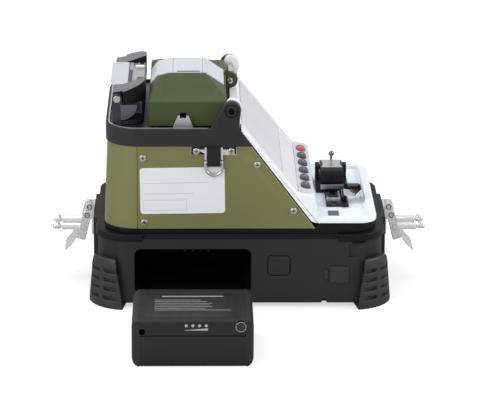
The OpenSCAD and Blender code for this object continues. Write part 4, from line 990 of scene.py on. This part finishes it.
class SPLICER_OT_heater(SplicerOperator, bpy.types.Operator):
    """Finishes the tube heater"""

    bl_idname = "splicer.heater"
    bl_label = "Heater"

    def build(self, scene):
        x, z = joint_at("heater_lid_hinge")
        wall, pin = 58.0, 2.9
        finish_plain("heater_base", ["Heater housing", "Screw steel"], 0.4 * MM, paints=(
            lambda p, n: abs(p.y - MID_Y) > wall and math.hypot(p.x - x, p.z - z) < pin,))
        finish_plain("heater_trough", "Machined alloy", 0.2 * MM)
        finish_plain("heater_lid", ["Heater lid grey", "Skirt plastic"], 0.7 * MM, 3,
                     paints=(lambda p, n: abs(n.z) < 0.35,))
        finish_plain("heater_lid_plate", "Heater plate", 0.5 * MM, 3)
        self.saddle()
        self.end_plates()

    def saddle(self):
        """Metal slide with a roller between the lid's wings, and black plates of painted shade where its
        windows are.
        """
        plate_low, plate_high = box_mm("heater_lid_plate")
        lid_high = box_mm("heater_lid")[1]
        left, right, floor, half = plate_high.x + 0.5, lid_high.x - 0.9, plate_low.z, 31.5
        top = floor + 1.6
        bm = blocks(((left, -half, floor - 0.1), (right, half, top)), matrix=ROW)
        soften(bm, 0.4 * MM)
        roller, middle, height = 2.6, 12.0, floor + 2.2
        add_rod(bm, (left + 4.4, middle, height), (right - 0.6, middle, height), roller, matrix=ROW)
        paint(bm, 1, lambda p, n: p.z > top + 0.1)
        add_piece("heater_slide", bm, ["Heater slide", "Screw steel"], "heater_lid", "trough_alloy")
        # Black plates where the windows are stand for the shade inside them, painted shade
        windows = ((0.2, 2.4, -31, 8), (6.2, 10.4, -23, -13), (2.6, 6.0, 24, 26.5), (2.6, 6.0, 19.5, 22),
                   (2.6, 6.0, 28.5, 31), (7.4, 10.6, 25, 30.5))
        bm = blocks(*(((left + x0, y0, top - 0.05), (left + x1, y1, top + 0.1))
                      for x0, x1, y0, y1 in windows), matrix=ROW)
        add_piece("heater_window_shade", bm, "Black steel", "heater_lid", "heater_grey")

    def end_plates(self):
        """A quarter disc on each end of the heater."""
        corner = joint_at("heater_lid_hinge")[0] + 2.5
        bottom = box_mm("heater_lid")[0].z - 0.4
        wide, tall, wall = 12.5, 11.2, 57.6
        outline = [(corner, bottom), *arc(corner, bottom - 0.3, wide, tall, 2, -88, 12)]
        for side, name in ((-1, "near"), (1, "far")):
            turned = (Matrix.Translation((0, MID_Y + side * wall, 0)) @ UPRIGHT
                      @ Matrix.Scale(-side, 4, (0, 0, 1)))
            bm = prism(outline, -0.8, turned)
            bmesh.ops.recalc_face_normals(bm, faces=bm.faces)
            add_piece("heater_disc_" + name, bm, "Heater disc", slot="heater_grey")


class SPLICER_OT_screen(SplicerOperator, bpy.types.Operator):
    """Finishes the screen housing, the glass and the display"""

    bl_idname = "splicer.screen"
    bl_label = "Screen"

    def build(self, scene):
        bm = copy_of("screen_bezel")
        self.narrow_posts(bm)
        soften(bm, 0.6 * MM, 3, 25, lambda p: p.x < DECK_LOW.x - 0.05)
        finish_node("screen_bezel", "Silver paint", bm)
        finish_plain("screen_glass", "Screen glass", 0.2 * MM)
        finish_plain("lcd_module", "Display", 0.3 * MM, 1)
        self.outline()

    def narrow_posts(self, bm):
        """Brings the rear of the two hinge posts nearer to their front."""
        root, foot, share = -7.0, 146.0, 0.55
        at_root = Matrix.Translation((root * MM, 0, 0))
        narrow = at_root @ Matrix.Scale(share, 4, (1, 0, 0)) @ at_root.inverted()
        bmesh.ops.transform(bm, matrix=narrow, verts=verts_where(bm, lambda p: p.x < root and p.z > foot))

    def outline(self):
        """A thin grey line round the glass."""
        inverse = SLOPE.inverted()
        (x0, y0, _), (x1, y1, top) = extent(
            [inverse @ (vert.co / MM) for vert in frame["nodes"]["screen_glass"].data.vertices])
        near, far, upper, lower = 0.7, 0.9, 1.0, 0.6
        lines = ((x0, y0, x1, y0 + near), (x0, y1 - far, x1, y1), (x0, y0, x0 + upper, y1),
                 (x1 - lower, y0, x1, y1))
        bm = blocks(*(((a, b, top - 0.05), (c, d, top + 0.06)) for a, b, c, d in lines), matrix=SLOPE)
        add_piece("glass_outline", bm, "Glass outline", slot="display")


class SPLICER_OT_keys(SplicerOperator, bpy.types.Operator):
    """Finishes the key strip and the six keys"""

    bl_idname = "splicer.keys"
    bl_label = "Keys"

    def build(self, scene):
        finish_plain("keypad_strip", "Key strip", 0.25 * MM)
        finish_plain("keypad_board", "Circuit board", 0.0)
        for number in range(1, 7):
            self.key(f"key_{number}", "Red key" if number == 6 else "Grey key")

    def key(self, name, finish):
        """A key with a small light mark on its top."""
        bm = copy_of(name)
        soften(bm, 0.5 * MM, 3)
        points = [SHELF.inverted() @ (vert.co / MM) for vert in bm.verts]
        top = extent(points)[1].z
        low, high = extent([p for p in points if p.z > top - 0.05])
        finish_node(name, finish, bm)
        middle = Vector(((low.x + high.x) / 2, (low.y + high.y) / 2, top - 0.02))
        wide, tall, corner = 1.5, 2.6, 0.5
        bm = prism(round_outline(wide, tall, corner, 3), 0.08, SHELF @ Matrix.Translation(middle))
        add_piece(name + "_mark", bm, "Key marking", name, "key_grey")


class SPLICER_OT_deck(SplicerOperator, bpy.types.Operator):
    """Finishes the front deck"""

    bl_idname = "splicer.deck"
    bl_label = "Front deck"

    def build(self, scene):
        near = DECK_LOW.y + 20
        finish_plain("front_deck", ["Deck silver", "Silver paint"], 0.8 * MM, 3,
                     where=lambda p: p.x > DECK_LOW.x + 0.05,
                     paints=(lambda p, n: p.y < near and n.y < -0.4,))
        pad = ((65.9, -58.0, 66.7), (73.9, -46.5, 67.3))
        bm = blocks(pad, matrix=ROW)
        soften(bm, 0.2 * MM)
        add_piece("deck_pad", bm, "Grey pad", slot="seal_rubber")


class SPLICER_OT_cleaver(SplicerOperator, bpy.types.Operator):
    """Finishes the cleaver on the deck"""

    bl_idname = "splicer.cleaver"
    bl_label = "Cleaver"

    def build(self, scene):
        finish_plain("cleaver_base", "Cleaver black", 0.3 * MM)
        self.arm()
        finish_plain("cleaver_carriage", "Cleaver black", 0.3 * MM)
        finish_plain("cleaver_flap", "Chrome", 0.15 * MM)
        self.front_plate()

    def arm(self):
        """The arm with its ball, and a waisted plate on its top."""
        low, high = box_mm("cleaver_arm")
        seat, height = 66.8, 18.5
        top = seat + height
        # The ball above the arm gets a darker copy of chrome as painted shade
        finish_plain("cleaver_arm", ["Cleaver black", "Painted shade chrome"], 0.5 * MM, 3,
                     where=lambda p: p.z < top + 0.1, paints=(lambda p, n: p.z > top + 0.2,))
        half, middle = (high.x - low.x) / 2 - 0.7, (low.x + high.x) / 2
        waist, start, reach, steps = 1.3, 5.6, 20.0, 8
        outline = []
        for side in (1, -1):
            for step in range(steps + 1):
                share = step / steps if side > 0 else 1 - step / steps
                outline.append((side * (half - waist * math.sin(math.pi * share)), start + reach * share))
        bm = prism(outline, 0.7, Matrix.Translation((middle, low.y, top - 0.1)))
        soften(bm, 0.2 * MM)
        add_piece("cleaver_arm_plate", bm, "Plate steel", "cleaver_arm", "flap_chrome")

    def front_plate(self):
        """Metal lip on the cleaver's front and an angle on its seat."""
        lip = ((62.5, -0.9, 70.0), (80.0, 1.4, 73.9))
        bm = blocks(lip, matrix=ROW)
        soften(bm, 0.4 * MM)
        add_piece("cleaver_lip", bm, "Machined alloy", slot="cleaver_black")
        left, right, bottom, top, post = 66.0, 76.2, 68.9, 71.6, 72.4
        bm = blocks(((left, -28.0, bottom), (right, -27.0, top)), ((75.2, -27.2, bottom), (right, -9.0, top)),
                    ((left, -29.5, bottom), (67.0, -26.0, post)), matrix=ROW)
        soften(bm, 0.2 * MM)
        add_piece("cleaver_angle", bm, "Plate steel", slot="flap_chrome")


class SPLICER_OT_latches(SplicerOperator, bpy.types.Operator):
    """Finishes the two draw latches"""

    bl_idname = "splicer.latches"
    bl_label = "Draw latches"

    def build(self, scene):
        for end, side in (("front", 1), ("rear", -1)):
            self.bracket("latch_bracket_" + end)
            finish_plain("latch_lever_" + end, "Latch steel", 0.25 * MM)
            self.hook("latch_hook_" + end, side)
            self.rivets(end, side)

    def bracket(self, node):
        """A bracket whose upper ear stands on its near side only."""
        bm = copy_of(node)
        inner, top = box_mm(node)[0].y + 2.3, BASE_HIGH.z + 0.2
        cut(bm, (0, inner, 0), (0, 1, 0))
        far = [face for face in bm.faces if all(vert.co.y / MM > inner - 0.001 for vert in face.verts)]
        parts = {part for face in far for part in (*face.verts, *face.edges)}
        slice_off(bm, (0, 0, top), (0, 0, 1), [*parts, *far])
        bmesh.ops.recalc_face_normals(bm, faces=bm.faces)
        soften(bm, 0.2 * MM, angle=60)
        finish_node(node, "Latch steel", bm)

    def hook(self, node, side):
        """Twin rods with bright sleeves and darker hooked ends."""
        low, high = box_mm(node)
        tip, start, stop = high.x if side > 0 else low.x, 8.0, 19.5
        finish_plain(node, ["Latch steel", "Latch sleeve"], 0.2 * MM,
                     paints=(lambda p, n: start < abs(tip - p.x) < stop,))

    def rivets(self, end, side):
        """Pin ends on the bracket's ears and an eye on each cheek of the lever."""
        x, z = joint_at(f"latch_lever_{end}_swing")
        low, high = box_mm("latch_bracket_" + end)
        ears = [(x, z, low.y, -1), (x, z, high.y, 1), (x - 2.0 * side, BASE_HIGH.z + 3.4, low.y, -1)]
        self.eyes(f"latch_pins_{end}", "machine", ears, "Dark alloy", "Screw steel")
        x, z = joint_at(f"latch_hook_{end}_swing")
        low, high = box_mm("latch_lever_" + end)
        cheeks = [(x, z, low.y, -1), (x, z, high.y, 1)]
        # The middle of each eye is painted near-black as painted shade
        self.eyes(f"latch_eyes_{end}", "latch_lever_" + end, cheeks, "Screw steel", "Bay inside")

    def eyes(self, name, body, places, rim, centre):
        """A flat ring with a raised middle at each place."""
        wide, foot, top = 2.1, 1.6, 1.4
        bm = bmesh.new()
        for x, z, y, out in places:
            add_rod(bm, (x, y - out * 0.05, z), (x, y + out * 0.15, z), wide)
            for face in faces_of(add_rod(bm, (x, y, z), (x, y + out * 0.35, z), foot, top)):
                face.material_index = 1
        add_piece(name, bm, [rim, centre], body, "latch_steel")


class SPLICER_OT_strap_clips(SplicerOperator, bpy.types.Operator):
    """Finishes the strap clips, their rings and the webbing"""

    bl_idname = "splicer.strap_clips"
    bl_label = "Strap clips"

    def build(self, scene):
        middle, slot, web, sheet = -19.9, 5.6, 5.05, 1.75
        finish_plain("strap_clips", ["Clip steel", "Strap webbing"], 0.25 * MM,
                     paints=(lambda p, n: abs(p.x - middle) < slot,))
        top = box_mm("strap_clips")[1].z + 0.05
        for side, out in (("near", -1), ("far", 1)):
            finish_plain("strap_ring_" + side, "Chrome", 0.0)
            wall = MID_Y + out * (MID_Y - PANEL_LOW.y)
            strap, rails = (-24.8, -15.0, 2.05, 2.6, 110.9), ((-26.6, -25.1), (-14.7, -13.2))
            bm = bmesh.new()
            for x0, x1, y0, y1, z0 in (strap, *((*rail, 0.6, 1.9, 115.2) for rail in rails)):
                y0, y1 = sorted(wall + out * sheet * y for y in (y0, y1))
                add_block(bm, (x0, y0, z0), (x1, y1, top))
            soften(bm, 0.3 * MM)
            paint(bm, 1, lambda p, n: abs(p.x - middle) > web)
            add_piece("strap_tab_" + side, bm, ["Strap webbing", "Clip steel"], slot="seal_rubber")


class SPLICER_OT_battery(SplicerOperator, bpy.types.Operator):
    """Finishes the battery"""

    bl_idname = "splicer.battery"
    bl_label = "Battery"

    def build(self, scene):
        edges = scene.splicer_edges
        seam = box_mm("battery_lower")[1].z
        for node in ("battery_lower", "battery_upper"):
            bm = copy_of(node)
            soften(bm, edges.battery, 4, where=lambda p: self.outside(p) and abs(p.z - seam) > 0.5)
            soften(bm, 0.4 * MM, 1, where=lambda p: self.outside(p) and abs(p.z - seam) < 0.05)
            # The seam between the halves is painted near-black as painted shade
            paint(bm, 1, lambda p, n: abs(p.z - seam) < 0.42)
            finish_node(node, ["Battery plastic", "Bay inside"], bm)
        finish_plain("battery_cells", "Cell wrap", 0.5 * MM)
        finish_plain("battery_button", "Bumper rubber", 0.3 * MM)
        self.markings()

    def outside(self, p):
        """True for an edge on the battery's outer skin, away from the holes in its front."""
        skin = min(p.x - BATTERY_LOW.x, BATTERY_HIGH.x - p.x, p.y - BATTERY_LOW.y, BATTERY_HIGH.y - p.y,
                   p.z, BATTERY_HIGH.z - p.z)
        charge, button, margin = -66.0, -8.0, 2.0
        front = p.y < BATTERY_LOW.y + 1.0 and 1.6 < BATTERY_HIGH.z - p.z < 11.2
        hole = (p.x > button or p.x < charge) and BATTERY_LOW.x + margin < p.x < BATTERY_HIGH.x - margin
        return skin < 0.05 and not (front and hole)

    def markings(self):
        """Top label with plain rules, level window with four dots, a wedge and a ring."""
        low, high, on = BATTERY_LOW, BATTERY_HIGH, ("battery", "battery_plastic")
        across, along_it = (low.x + high.x) / 2, (low.y + high.y) / 2
        wide, tall, corner = 67.0, high.y - low.y - 18.8, 1.0
        bm = prism(round_outline(wide, tall, corner), 0.1,
                   Matrix.Translation((across - 0.4, along_it - 0.6, high.z - 0.04)))
        add_piece("battery_label", bm, "Battery label", *on)
        left, first, pitch, line = -27, 9.6, 3.6, 0.7
        rules = [(17.0, -22, 22, 1.9)]
        for row, right in enumerate((6, 10, 14, 12, 14, 9, 27)):
            rules.append((first - pitch * row, left, right, line))
        at_label = Matrix.Translation((across, along_it, high.z))
        bm = blocks(*(((x0, y, 0), (x1, y + wide, 0.08)) for y, x0, x1, wide in rules), matrix=at_label)
        add_piece("battery_label_rules", bm, "Light print", *on)
        front = Matrix.Translation((0, low.y, 0)) @ UPRIGHT
        button = box_mm("battery_button")
        middle = (button[0] + button[1]) / 2
        left, right = across - 8.9, middle.x + 6.0
        self.window(front, left, right, middle)
        bm = bmesh.new()
        radius, first, pitch, row = 1.1, left + 4.4, 4.67, middle.z + 1.0
        for number in range(4):
            x = first + pitch * number
            add_rod(bm, (x, low.y - 0.14, row), (x, low.y - 0.02, row), radius, sides=20)
        start, stop, foot = left + 3.5, left + 19.6, middle.z - 2.5
        wedge = ((start, foot), (stop, foot), (stop, foot + 1.6), (start, foot + 0.2))
        prism(wedge, 0.1, front @ Matrix.Translation((0, 0, 0.04)), bm)
        add_piece("battery_dots", bm, "Light print", *on)
        bm = ring(3.3, 3.7, 0.1, front @ Matrix.Translation((middle.x, middle.z, 0.04)))
        add_piece("battery_ring", bm, "Light print", *on)

    def window(self, front, left, right, middle):
        """A thin window on the battery's front that leaves the button free."""
        tall, corner, hole, hole_corner, drop = 8.6, 3.8, 6.6, 2.9, 0.4
        outer = ((left + right) / 2, middle.z - drop, round_outline(right - left, tall, corner))
        inner = (middle.x, middle.z, round_outline(hole, hole, hole_corner))
        bm = bmesh.new()
        edges = []
        for across, up, outline in (outer, inner):
            loop = [bm.verts.new((x + across, y + up, 0)) for x, y in outline]
            edges += [bm.edges.new(pair) for pair in zip(loop, loop[1:] + loop[:1])]
        bmesh.ops.triangle_fill(bm, use_beauty=True, edges=edges)
        raised(bm, bm.faces[:], 0.09)
        bmesh.ops.recalc_face_normals(bm, faces=bm.faces)
        place(bm, bm.verts, front @ Matrix.Translation((0, 0, -0.02)))
        add_piece("battery_window", bm, "Level window", "battery", "battery_plastic")


BUILD_STEPS = (
    SPLICER_OT_stage, SPLICER_OT_base, SPLICER_OT_body, SPLICER_OT_rim, SPLICER_OT_wind_cover,
    SPLICER_OT_splice_unit, SPLICER_OT_heater, SPLICER_OT_screen, SPLICER_OT_keys, SPLICER_OT_deck,
    SPLICER_OT_cleaver, SPLICER_OT_latches, SPLICER_OT_strap_clips, SPLICER_OT_battery,
)


class SPLICER_PT_panel(bpy.types.Panel):
    """Lists the settings and the building steps"""

    bl_label = "Fibre fusion splicer"
    bl_idname = "SPLICER_PT_panel"
    bl_space_type = "VIEW_3D"
    bl_region_type = "UI"
    bl_category = "Splicer"

    def draw(self, context):
        layout = self.layout
        scene = context.scene
        for settings in (scene.splicer_colours, scene.splicer_edges, scene.splicer_stage):
            column = layout.column()
            for name in settings.__annotations__:
                column.prop(settings, name)
        for step in BUILD_STEPS:
            layout.operator(step.bl_idname)


CLASSES = (SplicerColours, SplicerEdges, SplicerStage, *BUILD_STEPS, SPLICER_PT_panel)


def register():
    for cls in CLASSES:
        bpy.utils.register_class(cls)
    bpy.types.Scene.splicer_colours = PointerProperty(type=SplicerColours)
    bpy.types.Scene.splicer_edges = PointerProperty(type=SplicerEdges)
    bpy.types.Scene.splicer_stage = PointerProperty(type=SplicerStage)


def unregister():
    del bpy.types.Scene.splicer_stage
    del bpy.types.Scene.splicer_edges
    del bpy.types.Scene.splicer_colours
    for cls in reversed(CLASSES):
        bpy.utils.unregister_class(cls)


def main():
    register()
    for step in BUILD_STEPS:
        group, name = step.bl_idname.split(".")
        getattr(getattr(bpy.ops, group), name)()


if __name__ == "__main__":
    main()
